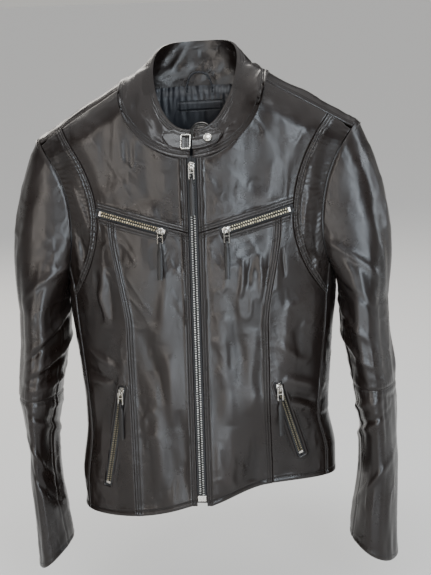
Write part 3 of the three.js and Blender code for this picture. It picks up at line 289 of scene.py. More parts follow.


# the lighter fourth tone is the painted highlight mixed in at fold crests and seam edges
lambTone = {
    "deep": (0.0066, 0.0036, 0.0026), "main": (0.0086, 0.0058, 0.0048), "pale": (0.0112, 0.0090, 0.0084),
    "highlight": (0.026, 0.021, 0.019), "cloudScale": 13.0, "gloss": (0.25, 0.33), "grainScale": 780.0,
    "grain": 0.18, "crease": 0.07, "specular": 0.42, "coat": 0.05,
}
thongTone = {**lambTone, "main": (0.0055, 0.0045, 0.0040), "gloss": (0.3, 0.44), "crease": 0.25, "coat": 0.04}
leatherSkin = leatherMaterial("blackLambLeather", lambTone)
thongSkin = leatherMaterial("thongLeather", thongTone)
thread = clothMaterial("sewingThread", {
    "deep": (0.006, 0.0055, 0.005), "pale": (0.014, 0.013, 0.012), "threads": 900.0, "weave": 0.5,
    "rough": 0.7, "sheen": 0.05,
})
satin = clothMaterial("satinLining", {
    "deep": (0.0045, 0.0052, 0.0080), "pale": (0.0085, 0.0095, 0.0140), "threads": 700.0, "weave": 0.25,
    "rough": 0.42, "sheen": 0.1,
})
labelCloth = clothMaterial("labelCloth", {
    "deep": (0.006, 0.007, 0.010), "pale": (0.010, 0.011, 0.015), "threads": 500.0, "weave": 0.6,
    "rough": 0.42, "sheen": 0.2,
})
tapeCloth = clothMaterial("zipTape", {
    "deep": (0.009, 0.009, 0.010), "pale": (0.018, 0.018, 0.019), "threads": 420.0, "weave": 0.9,
    "rough": 0.75, "sheen": 0.15,
})
nickel = metalMaterial("nickel", {
    "dark": (0.26, 0.24, 0.21), "bright": (0.66, 0.63, 0.58), "gloss": (0.16, 0.32), "patch": 260.0,
})
steelTeeth = metalMaterial("steelTeeth", {
    "dark": (0.16, 0.16, 0.15), "bright": (0.44, 0.43, 0.40), "gloss": (0.24, 0.42), "patch": 320.0,
})
brassTeeth = metalMaterial("antiqueBrass", {
    "dark": (0.11, 0.092, 0.058), "bright": (0.36, 0.315, 0.215), "gloss": (0.24, 0.42), "patch": 320.0,
})
bronze = metalMaterial("oldBronze", {
    "dark": (0.10, 0.092, 0.085), "bright": (0.36, 0.335, 0.31), "gloss": (0.3, 0.5), "patch": 190.0,
})
print("materials are mixed")


# small sums
def mix(start, end, share):
    return start + (end - start) * share


def ease(start, end, value):
    t = np.clip((value - start) / (end - start), 0, 1)
    return t * t * (3 - 2 * t)


def through(rows):
    # a smooth line through [height, value] stations, heights falling
    heights = np.array([row[0] for row in rows], float)
    values = np.array([row[1] for row in rows], float)

    def line(z):
        z = np.clip(np.asarray(z, float), heights[-1], heights[0])
        k = np.clip(np.searchsorted(-heights, -z, side="right") - 1, 0, len(rows) - 2)
        t = (z - heights[k]) / (heights[k + 1] - heights[k])
        return mix(values[k], values[k + 1], 0.5 * t * t * (3 - 2 * t) + 0.5 * t)

    return line


def unit(v):
    return v / np.maximum(np.linalg.norm(v, axis=-1, keepdims=True), 1e-12)


def latticeValue(x, y, z, seed):
    h = (x * 374761393 + y * 668265263 + z * 1440662683 + seed * 144665) & 0xFFFFFFFF
    h = ((h ^ (h >> 13)) * 1274126177) & 0xFFFFFFFF
    return ((h ^ (h >> 16)) & 0xFFFF) / 32767.5 - 1


def softNoise(p, seed=0):
    # smooth noise from -1 to 1 with cells one unit wide, the same on every run
    cell = np.floor(p).astype(np.int64)
    f = p - cell
    f = f * f * f * (f * (f * 6 - 15) + 10)
    total = 0
    for corner in range(8):
        step = (corner & 1, corner >> 1 & 1, corner >> 2)
        weight = 1
        for k in range(3):
            weight = weight * (f[..., k] if step[k] else 1 - f[..., k])
        total = total + weight * latticeValue(*(cell[..., k] + step[k] for k in range(3)), seed)
    return total


def creased(p, seed=0):
    # sharp ridges along the noise's zero lines, 0 to 1
    return np.clip(1 - np.abs(softNoise(p, seed)) * 1.6, 0, 1) ** 2


def rolled(p, seed=0):
    # rounded little rolls of leather, each fading out along its length
    ridge = np.exp(-(softNoise(p, seed) / 0.22) ** 2)
    return ridge * ease(-0.1, 0.5, softNoise(p / 2.3, seed + 20))


# the jacket's outer surface
torso = {
    "neckHalf": 88, "neckDropFront": 92, "neckDropBack": 20, "shoulderHalf": 196, "shoulderDrop": 65,
    "roll": 45, "acrossHalf": 153, "acrossDrop": 185, "armpit": 250, "chestHalf": 166, "waistHalf": 152,
    "hemHalf": 160, "length": 520, "waistAboveHem": 90, "fullAboveHem": 38, "frontTop": 64, "frontHem": 87,
    "bustRise": 6, "bustDrop": 255, "bustOut": 72, "bustWide": 42, "bustHigh": 62, "rightFold": 34,
    "hemSlant": 20, "tilt": 0.03, "roundness": 2.3, "armholeShare": 0.19, "sideSeamIn": 11,
    "armholeFade": 80, "highCurve": 2.4, "lowCurve": 1.6, "backDepths": (58, 72, 64, 74),
    "middle": 12, "foldOut": 80, "foldHigh": 135, "slantSpread": 62, "slantHigh": 180,
}
hem = -torso["length"]
slope = torso["shoulderDrop"] / (torso["shoulderHalf"] - torso["neckHalf"])
neckRise = slope * torso["neckHalf"] / 2


def ridge(x):
    out = np.abs(x)
    neck = torso["neckHalf"]
    return np.where(out > neck, -slope * (out - neck), neckRise * (1 - (out / neck) ** 2))


def armholeOut(z):
    z = np.asarray(z, float)
    t = np.clip((z + torso["acrossDrop"]) / (torso["acrossDrop"] - torso["shoulderDrop"]), 0, 1)
    high = mix(torso["acrossHalf"], torso["shoulderHalf"], t ** torso["highCurve"])
    t = np.clip((-torso["acrossDrop"] - z) / (torso["armpit"] - torso["acrossDrop"]), 0, 1)
    low = mix(torso["acrossHalf"], torso["chestHalf"], t ** torso["lowCurve"])
    return np.where(z > -torso["acrossDrop"], high, low)


sideLine = through([
    (-torso["armpit"], torso["chestHalf"]), (hem + torso["waistAboveHem"], torso["waistHalf"]),
    (hem + torso["fullAboveHem"], torso["hemHalf"]), (hem, torso["hemHalf"]),
])
backHeights = (0, -torso["armpit"], hem + torso["waistAboveHem"], hem)
backDepth = through(list(zip(backHeights, torso["backDepths"])))


def halfWidth(z):
    up = np.clip((np.asarray(z, float) + torso["armpit"]) / torso["armholeFade"], 0, 1)
    above = armholeOut(z) / (1 - torso["armholeShare"] * np.sin(up * math.pi / 2))
    return np.where(np.asarray(z) <= -torso["armpit"], sideLine(z), above)


def frontDepth(z):
    share = (-torso["neckDropFront"] - z) / (torso["length"] - torso["neckDropFront"])
    return mix(torso["frontTop"], torso["frontHem"], share)


def foldBack(x, z):
    across = ease(torso["middle"], torso["foldOut"], x)
    return torso["rightFold"] * across * ease(hem + torso["foldHigh"], hem, z)


def bust(x, z):
    across = (np.abs(x) - torso["bustOut"]) / torso["bustWide"]
    down = (z + torso["bustDrop"]) / torso["bustHigh"]
    return torso["bustRise"] * np.exp(-across * across - down * down)


def lean(x, z):
    free = np.maximum(0, np.abs(x) - torso["middle"]) * np.sign(x)
    slant = torso["hemSlant"] * np.tanh(free / torso["slantSpread"]) * ease(hem + torso["slantHigh"], hem, z)
    return slant + torso["tilt"] * x * ease(-torso["acrossDrop"], -torso["shoulderDrop"], z)


def shell(wing, angle, z, inset=0.0):
    # angle 0 is the side, +90 degrees the front centre and -90 degrees the back centre
    power = 2 / torso["roundness"]
    half = halfWidth(z)
    across = np.maximum(0, np.cos(angle)) ** power
    deep = np.abs(np.sin(angle)) ** power
    outer = wing * half * across
    drop = np.maximum(0, ridge(outer) - z)
    c = 1 - drop / torso["roll"]
    near = drop < torso["roll"]
    rolled = np.where(near, np.sqrt(np.maximum(0, 1 - c * c)), 1)
    height = np.where(near, ridge(outer) - inset - (torso["roll"] - inset) * (1 - c), z)
    front = angle > 0
    depth = np.where(front, frontDepth(z) - foldBack(outer, z), backDepth(z))
    swell = np.where(front, bust(outer, z) * deep, 0)
    y = np.where(front, -1, 1) * ((depth - inset) * deep * rolled + swell)
    return np.stack(np.broadcast_arrays(wing * (half - inset) * across, y, height + lean(outer, z)), -1)


def angleAt(out, z):
    return np.arccos(np.clip(out / halfWidth(z), 0, 1) ** (torso["roundness"] / 2))


def signOf(x):
    return np.where(np.asarray(x) < 0, -1.0, 1.0)


def frontPoint(x, z, inset=0.0):
    return shell(signOf(x), np.maximum(angleAt(np.abs(x), z), tiny), z, inset)


def backPoint(x, z, inset=0.0):
    return shell(signOf(x), -angleAt(np.abs(x), z), z, inset)


def overRidge(x, z, face):
    # distance over the shoulder from its ridge, negative on the front
    drop = np.maximum(0, ridge(x) - z)
    roll = torso["roll"]
    turned = np.arccos(np.clip(1 - drop / roll, 0, 1)) * roll
    return -face * np.where(drop < roll, turned, roll * math.pi / 2 + drop - roll)


def heightOver(x, run):
    roll = torso["roll"]
    far = np.abs(run)
    quarter = roll * math.pi / 2
    drop = np.where(far < quarter, roll * (1 - np.cos(far / roll)), roll + far - quarter)
    return ridge(x) - drop


def shellOver(x, run, inset=0.0):
    z = heightOver(x, run)
    angle = angleAt(np.abs(x), z)
    return shell(signOf(x), np.where(run < 0, np.maximum(angle, tiny), -angle), z, inset)


def onFront(x, height, inset=0.0):
    # the front surface straight behind a place seen from the front
    z = np.asarray(height, float)
    for _ in range(4):
        z = height - lean(x, z)
    return frontPoint(x, z, inset)


# grids, relief and meshes
def pair(a, b):
    return np.stack(np.broadcast_arrays(np.asarray(a, float), np.asarray(b, float)), -1)


def evenly(count):
    return np.linspace(0, 1, count + 1)


def patchGrid(left, right, low, high, u, v):
    leftLine, rightLine, lowLine, highLine = left(v), right(v), low(u), high(u)
    uu, vv = u[None, :, None], v[:, None, None]
    sides = mix(leftLine[:, None], rightLine[:, None], uu)
    ends = mix(lowLine[None], highLine[None], vv)
    corners = mix(mix(lowLine[0], lowLine[-1], uu), mix(highLine[0], highLine[-1], uu), vv)
    return sides + ends - corners


def gridNormals(p, wrap=False):
    if wrap:
        around = np.roll(p, -1, 1) - np.roll(p, 1, 1)
    else:
        around = np.gradient(p, axis=1)
    normal = unit(np.cross(around, np.gradient(p, axis=0)))
    for _ in range(2):
        normal[0], normal[-1] = normal[1], normal[-2]
    return normal


def edgeRuns(p):
    # distance in from each edge, and the place along it, both in millimetres
    across = np.linalg.norm(np.diff(p, axis=1), axis=2)
    across = np.concatenate([np.zeros((len(p), 1)), np.cumsum(across, 1)], 1)
    along = np.linalg.norm(np.diff(p, axis=0), axis=2)
    along = np.concatenate([np.zeros((1, p.shape[1])), np.cumsum(along, 0)], 0)
    flat = np.ones(p.shape[:2])
    return {
        "left": (across, along[:, :1] * flat), "right": (across[:, -1:] - across, along[:, -1:] * flat),
        "low": (along, across[:1] * flat), "high": (along[-1:] - along, across[-1:] * flat),
    }


# how a seam edge sits: rows are the stitch lines' distances in, lap the doubled leather under them
def seam(rows=(), lap=0.0, pucker=0.0, roll=2.0, sink=2.0, span=(0, 1), seed=0):
    return {"rows": rows, "lap": lap, "pucker": pucker, "roll": roll, "sink": sink, "span": span, "seed": seed}


farAway = 1e3


def edgeRelief(inward, along, style):
    turned = np.clip(1 - inward / style["roll"], 0, 1)
    height = -style["sink"] * (1 - np.sqrt(1 - turned * turned))
    if style["lap"]:
        reach = max(style["rows"]) + 1.8
        height = height + style["lap"] * (1 - ease(reach - 0.6, reach + 1.4, inward))
    for row in style["rows"]:
        height = height - 1.15 * np.exp(-((inward - row) / 1.15) ** 2)
    if style["pucker"]:
        place = np.stack([along / 5.2, inward / 26, np.full_like(along, style["seed"] + 0.5)], -1)
        ripple = softNoise(place, style["seed"]) + 0.5 * np.sin(along * 1.05 + 2 * softNoise(place / 4, 5))
        place[..., 0] = along / 34
        strength = 0.6 + 0.4 * softNoise(place, style["seed"] + 7)
        fade = np.exp(-(np.maximum(0, inward - 3) / 9.0)) * ease(0, 2.5, inward)
        height = height + style["pucker"] * ripple * strength * fade
    return height


def seamRelief(runs, edges):
    # height of every seam edge of a sheet, and the distance to the nearest one
    height = np.zeros(runs["left"][0].shape)
    near = height + farAway
    for edge, style in edges.items():
        inward, along = runs[edge]
        height += edgeRelief(inward, along, style)
        near = np.minimum(near, inward)
    return height, near


def alongRow(values, inward, distance, edge):
    # values on the line at a distance in from an edge
    if edge in ("low", "high"):
        values, inward = np.swapaxes(values, 0, 1), inward.T
    line = []
    for row, depth in zip(values, inward):
        order = slice(None) if depth[0] < depth[-1] else slice(None, None, -1)
        line.append([np.interp(distance, depth[order], row[order, k]) for k in range(row.shape[1])])
    return np.array(line)


def bands(rings, count):
    # the faces between rings of points that follow each other
    faces = []
    for r in range(rings - 1):
        for k in range(count):
            a, b = r * count + k, r * count + (k + 1) % count
            faces.append([a, b, b + count, a + count])
    return faces


stitch = {"pitch": 3.7, "length": 2.7, "wide": 0.9, "thick": 0.6, "lift": 0.12, "tipWide": 0.45, "sunk": 0.18}


def stitchRow(line, normals, trim=2.5):
    # a row of short raised stitches along a line on the leather
    steps = np.linalg.norm(np.diff(line, axis=0), axis=1)
    run = np.concatenate([[0], np.cumsum(steps)])
    if run[-1] < 3 * stitch["pitch"]:
        return np.zeros((0, 3)), np.zeros((0, 4), int)
    centres = np.arange(trim + stitch["length"] / 2, run[-1] - trim, stitch["pitch"])

    def at(place):
        spot = np.stack([np.interp(place, run, line[:, k]) for k in range(3)], -1)
        up = unit(np.stack([np.interp(place, run, normals[:, k]) for k in range(3)], -1))
        return spot, up

    points = []
    tip, crown = (stitch["tipWide"], -stitch["sunk"]), (1, stitch["lift"])
    for share, (wide, rise) in ((-0.5, tip), (-0.2, crown), (0.2, crown), (0.5, tip)):
        spot, up = at(centres + share * stitch["length"])
        ahead, _ = at(centres + share * stitch["length"] + 0.4)
        side = unit(np.cross(unit(ahead - spot), up))
        half = stitch["wide"] * wide / 2
        tall = stitch["thick"] * wide / 2
        ring = [side * half, up * tall, -side * half, -up * tall]
        points.append(np.stack([spot + up * rise + r for r in ring], 1))
    points = np.stack(points, 1)
    count = len(centres)
    start = np.arange(count)[:, None] * 16
    faces = bands(4, 4) + [[3, 2, 1, 0], [12, 13, 14, 15]]
    return points.reshape(-1, 3), np.concatenate([start + np.array(face) for face in faces])


def stitchRows(runs, edges, outer, normal, trim=2.5, wrap=False):
    # the stitches along every edge of a sheet
    shapes = []
    for edge, style in edges.items():
        inward = runs[edge][0]
        for row in style["rows"]:
            line, ups = alongRow(outer, inward, row, edge), unit(alongRow(normal, inward, row, edge))
            if wrap:
                line, ups = (np.concatenate([v, v[:1]]) for v in (line, ups))
            first, last = (int(round(share * (len(line) - 1))) for share in style["span"])
            shapes.append((*stitchRow(line[first:last + 1], ups[first:last + 1], trim), 1))
    return shapes


def facing(points, faces):
    # turns the faces of a closed shape outward
    a, b, c, d = (points[faces[:, k]] for k in range(4))
    volume = (np.cross(a, b) * c).sum() + (np.cross(a, c) * d).sum()
    return faces if volume > 0 else faces[:, ::-1]


def closedSheet(outer, inner, wrap=False, keep=None):
    # a skin of two layers joined round every open edge
    rows, cols = outer.shape[:2]
    number = np.arange(rows * cols).reshape(rows, cols)
    if wrap:
        number = np.concatenate([number, number[:, :1]], 1)
    cellRows, cellCols = rows - 1, number.shape[1] - 1
    if keep is None:
        keep = np.ones((cellRows, cellCols), bool)
    a, b = number[:-1, :-1], number[:-1, 1:]
    c, d = number[1:, 1:], number[1:, :-1]
    under = rows * cols
    faces = [np.stack([a, b, c, d], -1)[keep], np.stack([d, c, b, a], -1)[keep] + under]
    framed = np.zeros((cellRows + 2, cellCols + 2), bool)
    framed[1:-1, 1:-1] = keep
    if wrap:
        framed[1:-1, 0], framed[1:-1, -1] = keep[:, -1], keep[:, 0]
    for (p, q), beyond in (((b, a), framed[:-2, 1:-1]), ((d, c), framed[2:, 1:-1]),
                           ((a, d), framed[1:-1, :-2]), ((c, b), framed[1:-1, 2:])):
        rim = keep & ~beyond
        p, q = p[rim], q[rim]
        faces.append(np.stack([p, q, q + under, p + under], -1))
    points = np.concatenate([outer.reshape(-1, 3), inner.reshape(-1, 3)])
    faces = np.concatenate(faces)
    return points, facing(points, faces)


def sweep(path, section, sides, ups, closed=False):
    # a section [side, up] carried along a path
    path, section = np.asarray(path, float), np.asarray(section, float)
    rings = path[:, None] + section[None, :, :1] * sides[:, None] + section[None, :, 1:] * ups[:, None]
    rows, count = rings.shape[:2]
    faces = []
    last = rows if closed else rows - 1
    for r in range(last):
        for k in range(count):
            here, there = r * count, (r + 1) % rows * count
            faces.append([here + k, here + (k + 1) % count, there + (k + 1) % count, there + k])
    points = rings.reshape(-1, 3)
    faces = np.array(faces)
    if closed:
        return points, facing(points, faces)
    caps = []
    for base, flip in ((0, True), ((rows - 1) * count, False)):
        for k in range(0, count - 2, 2):
            quad = [base, base + k + 1, base + k + 2, base + (k + 3) % count]
            caps.append(quad[::-1] if flip else quad)
    return points, facing(points, np.concatenate([faces, np.array(caps)]))


def boxShape(low, high, chamfer=0.0):
    # a block from corner to corner, its top and bottom edges taken off by the chamfer
    (x0, y0, z0), (x1, y1, z1) = low, high
    c = chamfer
    layers = [(z0, c), (z0 + c, 0), (z1 - c, 0), (z1, c)] if c else [(z0, 0), (z1, 0)]
    points = []
    for z, t in layers:
        points += [(x0 + t, y0 + t, z), (x1 - t, y0 + t, z), (x1 - t, y1 - t, z), (x0 + t, y1 - t, z)]
    top = 4 * (len(layers) - 1)
    faces = [[3, 2, 1, 0], [top, top + 1, top + 2, top + 3]] + bands(len(layers), 4)
    return np.array(points, float), np.array(faces)


def gather(shapes):
    # several shapes as one: [(points, faces, material number)]
    points, faces, numbers, offset = [], [], [], 0
    for p, f, number in shapes:
        if len(f) == 0:
            continue
        points.append(p)
        faces.append(f + offset)
        numbers.append(np.full(len(f), number))
        offset += len(p)
    return np.concatenate(points), np.concatenate(faces), np.concatenate(numbers)


def makePiece(name, shapes, materials, stands=(), highlightAmount=None, crisp=50):
    points, faces, numbers = gather(shapes)
    mesh = bpy.data.meshes.new(name)
    quads = [face if len(set(face)) == 4 else list(dict.fromkeys(face)) for face in faces.tolist()]
    mesh.from_pydata((points * mm).tolist(), [], quads)
    mesh.polygons.foreach_set("material_index", numbers.astype(np.int32))
    mesh.polygons.foreach_set("use_smooth", np.ones(len(faces), bool))
    for material in materials:
        mesh.materials.append(material)
    # per-point amount of painted highlight, read by the leather material
    highlight = mesh.attributes.new("highlightAmount", "FLOAT", "POINT")
    highlighted = np.zeros(len(points), np.float32)
    if highlightAmount is not None:
        highlighted[:len(highlightAmount)] = highlightAmount
    highlight.data.foreach_set("value", highlighted)
    mesh.set_sharp_from_angle(angle=math.radians(crisp))
    piece = bpy.data.objects.new(name, mesh)
    bpy.context.scene.collection.objects.link(piece)
    if stands:
        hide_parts(*stands)
    return piece


# folds listed for the front: from (x, z) to (x, z), half width and height; below zero is a hollow
frontFolds = [
    (-118, -222, -112, -300, 5.0, 3.0), (-127, -230, -119, -296, 3.2, -1.8),
    (-109, -236, -104, -290, 3.4, -1.2),
    (-60, -352, -48, -500, 9.0, 2.0), (-24, -400, -16, -512, 7.0, -1.8), (-84, -330, -98, -378, 6.0, 1.8),
    (-142, -330, -96, -352, 5.0, 1.7), (-146, -352, -100, -368, 4.0, -1.4), (-148, -368, -112, -374, 4.0, 1.5),
    (-30, -215, -46, -318, 8.0, 1.6), (-66, -300, -40, -392, 8.0, -1.5), (-36, -330, -32, -420, 6.0, 1.5),
    (58, -214, 54, -262, 3.0, 1.6), (68, -212, 66, -250, 2.6, -1.2), (80, -210, 77, -268, 3.0, 1.7),
    (90, -207, 88, -246, 2.4, -1.2), (98, -206, 97, -256, 2.8, 1.6), (106, -204, 107, -240, 2.4, -1.2),
    (40, -250, 56, -372, 7.0, -1.7), (28, -280, 38, -420, 7.0, 1.7), (70, -300, 62, -408, 8.0, 1.8),
    (112, -268, 104, -352, 6.0, 1.9), (124, -286, 118, -350, 4.5, -1.6), (96, -318, 132, -352, 5.0, 1.6),
    (102, -366, 150, -388, 5.5, 2.6), (100, -382, 150, -404, 4.2, -2.2), (108, -398, 152, -418, 4.8, 2.2),
    (40, -420, 30, -508, 8.0, 1.6), (64, -430, 60, -500, 6.0, -1.5), (20, -440, 16, -510, 6.0, 1.3),
    (-150, -120, -124, -196, 4.5, 1.6), (-158, -150, -128, -232, 4.0, -1.4), (-150, -190, -138, -250, 4.0, 1.6),
    (136, -132, 128, -214, 4.0, 1.6), (146, -160, 138, -246, 3.6, -1.4), (138, -210, 150, -262, 3.6, 1.5),
    (-72, -112, -118, -152, 10.0, 1.3), (-44, -132, -92, -168, 9.0, -1.0), (52, -128, 104, -148, 10.0, 1.2),
]
backFolds = [
    (-60, -190, -74, -330, 9.0, 1.8), (48, -200, 66, -340, 9.0, 1.8), (-8, -230, 6, -400, 10.0, 1.5),
    (-120, -380, -60, -398, 6.0, 2.0), (60, -392, 128, -376, 6.0, 2.0), (-96, -410, -30, -420, 5.0, -1.5),
    (24, -418, 104, -406, 5.0, 1.6), (-40, -430, -52, -512, 9.0, 1.6), (46, -430, 58, -512, 9.0, -1.5),
    (-132, -262, -104, -340, 6.0, 1.7), (134, -262, 110, -336, 6.0, 1.7), (-70, -60, -130, -110, 9.0, 1.2),
]


def handFolds(p, folds):
    height = np.zeros(p.shape[:-1])
    for x0, z0, x1, z1, half, rise in folds:
        run = np.array([x1 - x0, z1 - z0], float)
        length = np.hypot(*run)
        run /= length
        dx, dz = p[..., 0] - x0, p[..., 2] - z0
        t = (dx * run[0] + dz * run[1]) / length
        wander = 3.0 * softNoise(np.stack([p[..., 0] / 24, p[..., 2] / 24, np.full_like(t, rise)], -1), 9)
        aside = dx * run[1] - dz * run[0] + wander
        taper = np.sin(np.clip(t, 0, 1) * math.pi) ** 0.6
        height += rise * taper * np.exp(-(aside / half) ** 2)
    return height


def bodyFolds(p):
    # soft drape, finer creases and the listed folds, in millimetres out of the leather
    soft = 2.3 * softNoise(p / (34, 46, 92), 1) + 1.2 * softNoise(p / (17, 22, 40), 2)
    fine = 0.9 * rolled(p / (15, 19, 30), 3) + 0.4 * rolled(p / (8, 10, 13), 4)
    slanted = np.stack([p[..., 0] + 0.6 * p[..., 2], p[..., 1], p[..., 2] - 0.5 * np.abs(p[..., 0])], -1)
    cross = 0.7 * rolled(slanted / (11, 15, 32), 5)
    front = p[..., 1] < 0
    laid = 1.35 * np.where(front, handFolds(p, frontFolds), handFolds(p, backFolds))
    return soft + fine + cross + laid


skin = {"thick": 1.7, "mesh": 2.2}


def leatherPanel(name, grid, place, edges, calm=1.0, keep=None):
    flat = place(grid)
    normal = gridNormals(flat)
    outward = flat * (1, 1, 0)
    if (normal * outward).sum() < 0:
        normal = -normal
    runs = edgeRuns(flat)
    height, near = seamRelief(runs, edges)
    folds = bodyFolds(flat) * calm * mix(0.25, 1, ease(0, 16, near))
    outer = flat + normal * (height + folds)[..., None]
    base = -skin["thick"] + np.minimum(folds, 2.5) + np.minimum(height, 0)
    inner = flat + normal * base[..., None]
    cells = None
    if keep is not None:
        middle = (flat[:-1, :-1] + flat[1:, 1:] + flat[:-1, 1:] + flat[1:, :-1]) / 4
        cells = keep(middle)
    shapes = [(*closedSheet(outer, inner, keep=cells), 0)] + stitchRows(runs, edges, outer, normal)
    # painted highlight: lighter on fold crests and along seam edges, darker in fold hollows as painted shade
    highlightAmount = np.clip(0.1 + 0.16 * folds + 0.5 * np.exp(-near / 1.6), 0, 1).ravel()
    piece = makePiece(name, shapes, [leatherSkin, thread], [name], highlightAmount)
    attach(piece, "jacket_body")


def spread(length, mesh):
    # places along a side, closer together near its ends, where the seams lie
    near = np.array([0, 0.5, 1.0, 1.6, 2.1, 2.6, 3.1, 3.7, 4.6, 5.3, 5.8, 6.3, 6.8, 7.6, 8.8, 10.4, 12.4])
    count = max(2, int(round((length - 2 * near[-1]) / mesh)))
    middle = np.linspace(near[-1], length - near[-1], count + 1)[1:-1]
    return np.concatenate([near, middle, (length - near)[::-1]]) / length


def gridSize(wide, high, finer=1.0):
    return spread(wide, skin["mesh"] * finer), spread(high, skin["mesh"] * finer)


# seam lines of the front
cut = {
    "zipEdge": 6, "shoulderSeam": 8, "princess": (104, 86, 84), "chestIn": (40, 180), "chestOut": (112, 160),
    "handIn": (97, 142), "handOut": (119, 42),
    "corner": 119, "kneeDrop": 266, "seamTopShare": 0.69, "closedIn": 34, "closedOut": 115,
}
seamTopOut = mix(torso["neckHalf"], torso["shoulderHalf"], cut["seamTopShare"])
chestRise = (cut["chestIn"][1] - cut["chestOut"][1]) / (cut["chestOut"][0] - cut["chestIn"][0])
princessOut = through([(-180, cut["princess"][0]), (-295, cut["princess"][1]), (hem, cut["princess"][2])])


def seamHeight(x):
    return ridge(x) - cut["shoulderSeam"]


def neckHeight(out):
    return -torso["neckDropFront"] * np.sqrt(np.maximum(0, 1 - (out / torso["neckHalf"]) ** 2))


def chestZipHeight(out):
    return -cut["chestIn"][1] + chestRise * (out - cut["chestIn"][0])


def sideSeamOut(z):
    return halfWidth(z) - torso["sideSeamIn"]


seamMid = mix(chestZipHeight(cut["corner"]), -torso["armpit"], 0.14)
knee = -cut["kneeDrop"]


def panelSeamOut(z):
    z = np.asarray(z, float)
    t = np.clip((z - seamMid) / (seamHeight(seamTopOut) - seamMid), 0, 1)
    above = mix(cut["corner"], seamTopOut, t ** 2.1)
    t = np.clip((seamMid - z) / (seamMid - knee), 0, 1)
    below = mix(cut["corner"], sideSeamOut(knee), t ** 1.9)
    return np.where(z > seamMid, above, below)


sideSeamTop = -torso["armpit"]
while armholeOut(sideSeamTop) > torso["chestHalf"] - torso["sideSeamIn"] + 4:
    sideSeamTop += 1


def sideSeam(z):
    upper = mix(sideSeamOut(knee), armholeOut(sideSeamTop), (z - knee) / (sideSeamTop - knee))
    return np.where(z < knee, sideSeamOut(z), upper)


def edgeHeight(v, share, top):
    return np.where(v < share, mix(hem, knee, v / share), mix(knee, top, (v - share) / (1 - share)))


def byAngle(out, z):
    return pair(angleAt(out, z), z)


def byBackAngle(out, z):
    return pair(-angleAt(out, z), z)


def panelTop(out):
    # the edge under the chest zip, closed up to the yoke beyond both ends of the zip
    inner, outer = cut["closedIn"], cut["closedOut"]
    shut = 1 - ease(inner - 3, inner + 2, out) + ease(outer, outer + 3, out)
    return chestZipHeight(out) - cut["zipEdge"] + (2 * cut["zipEdge"] - 0.4) * shut


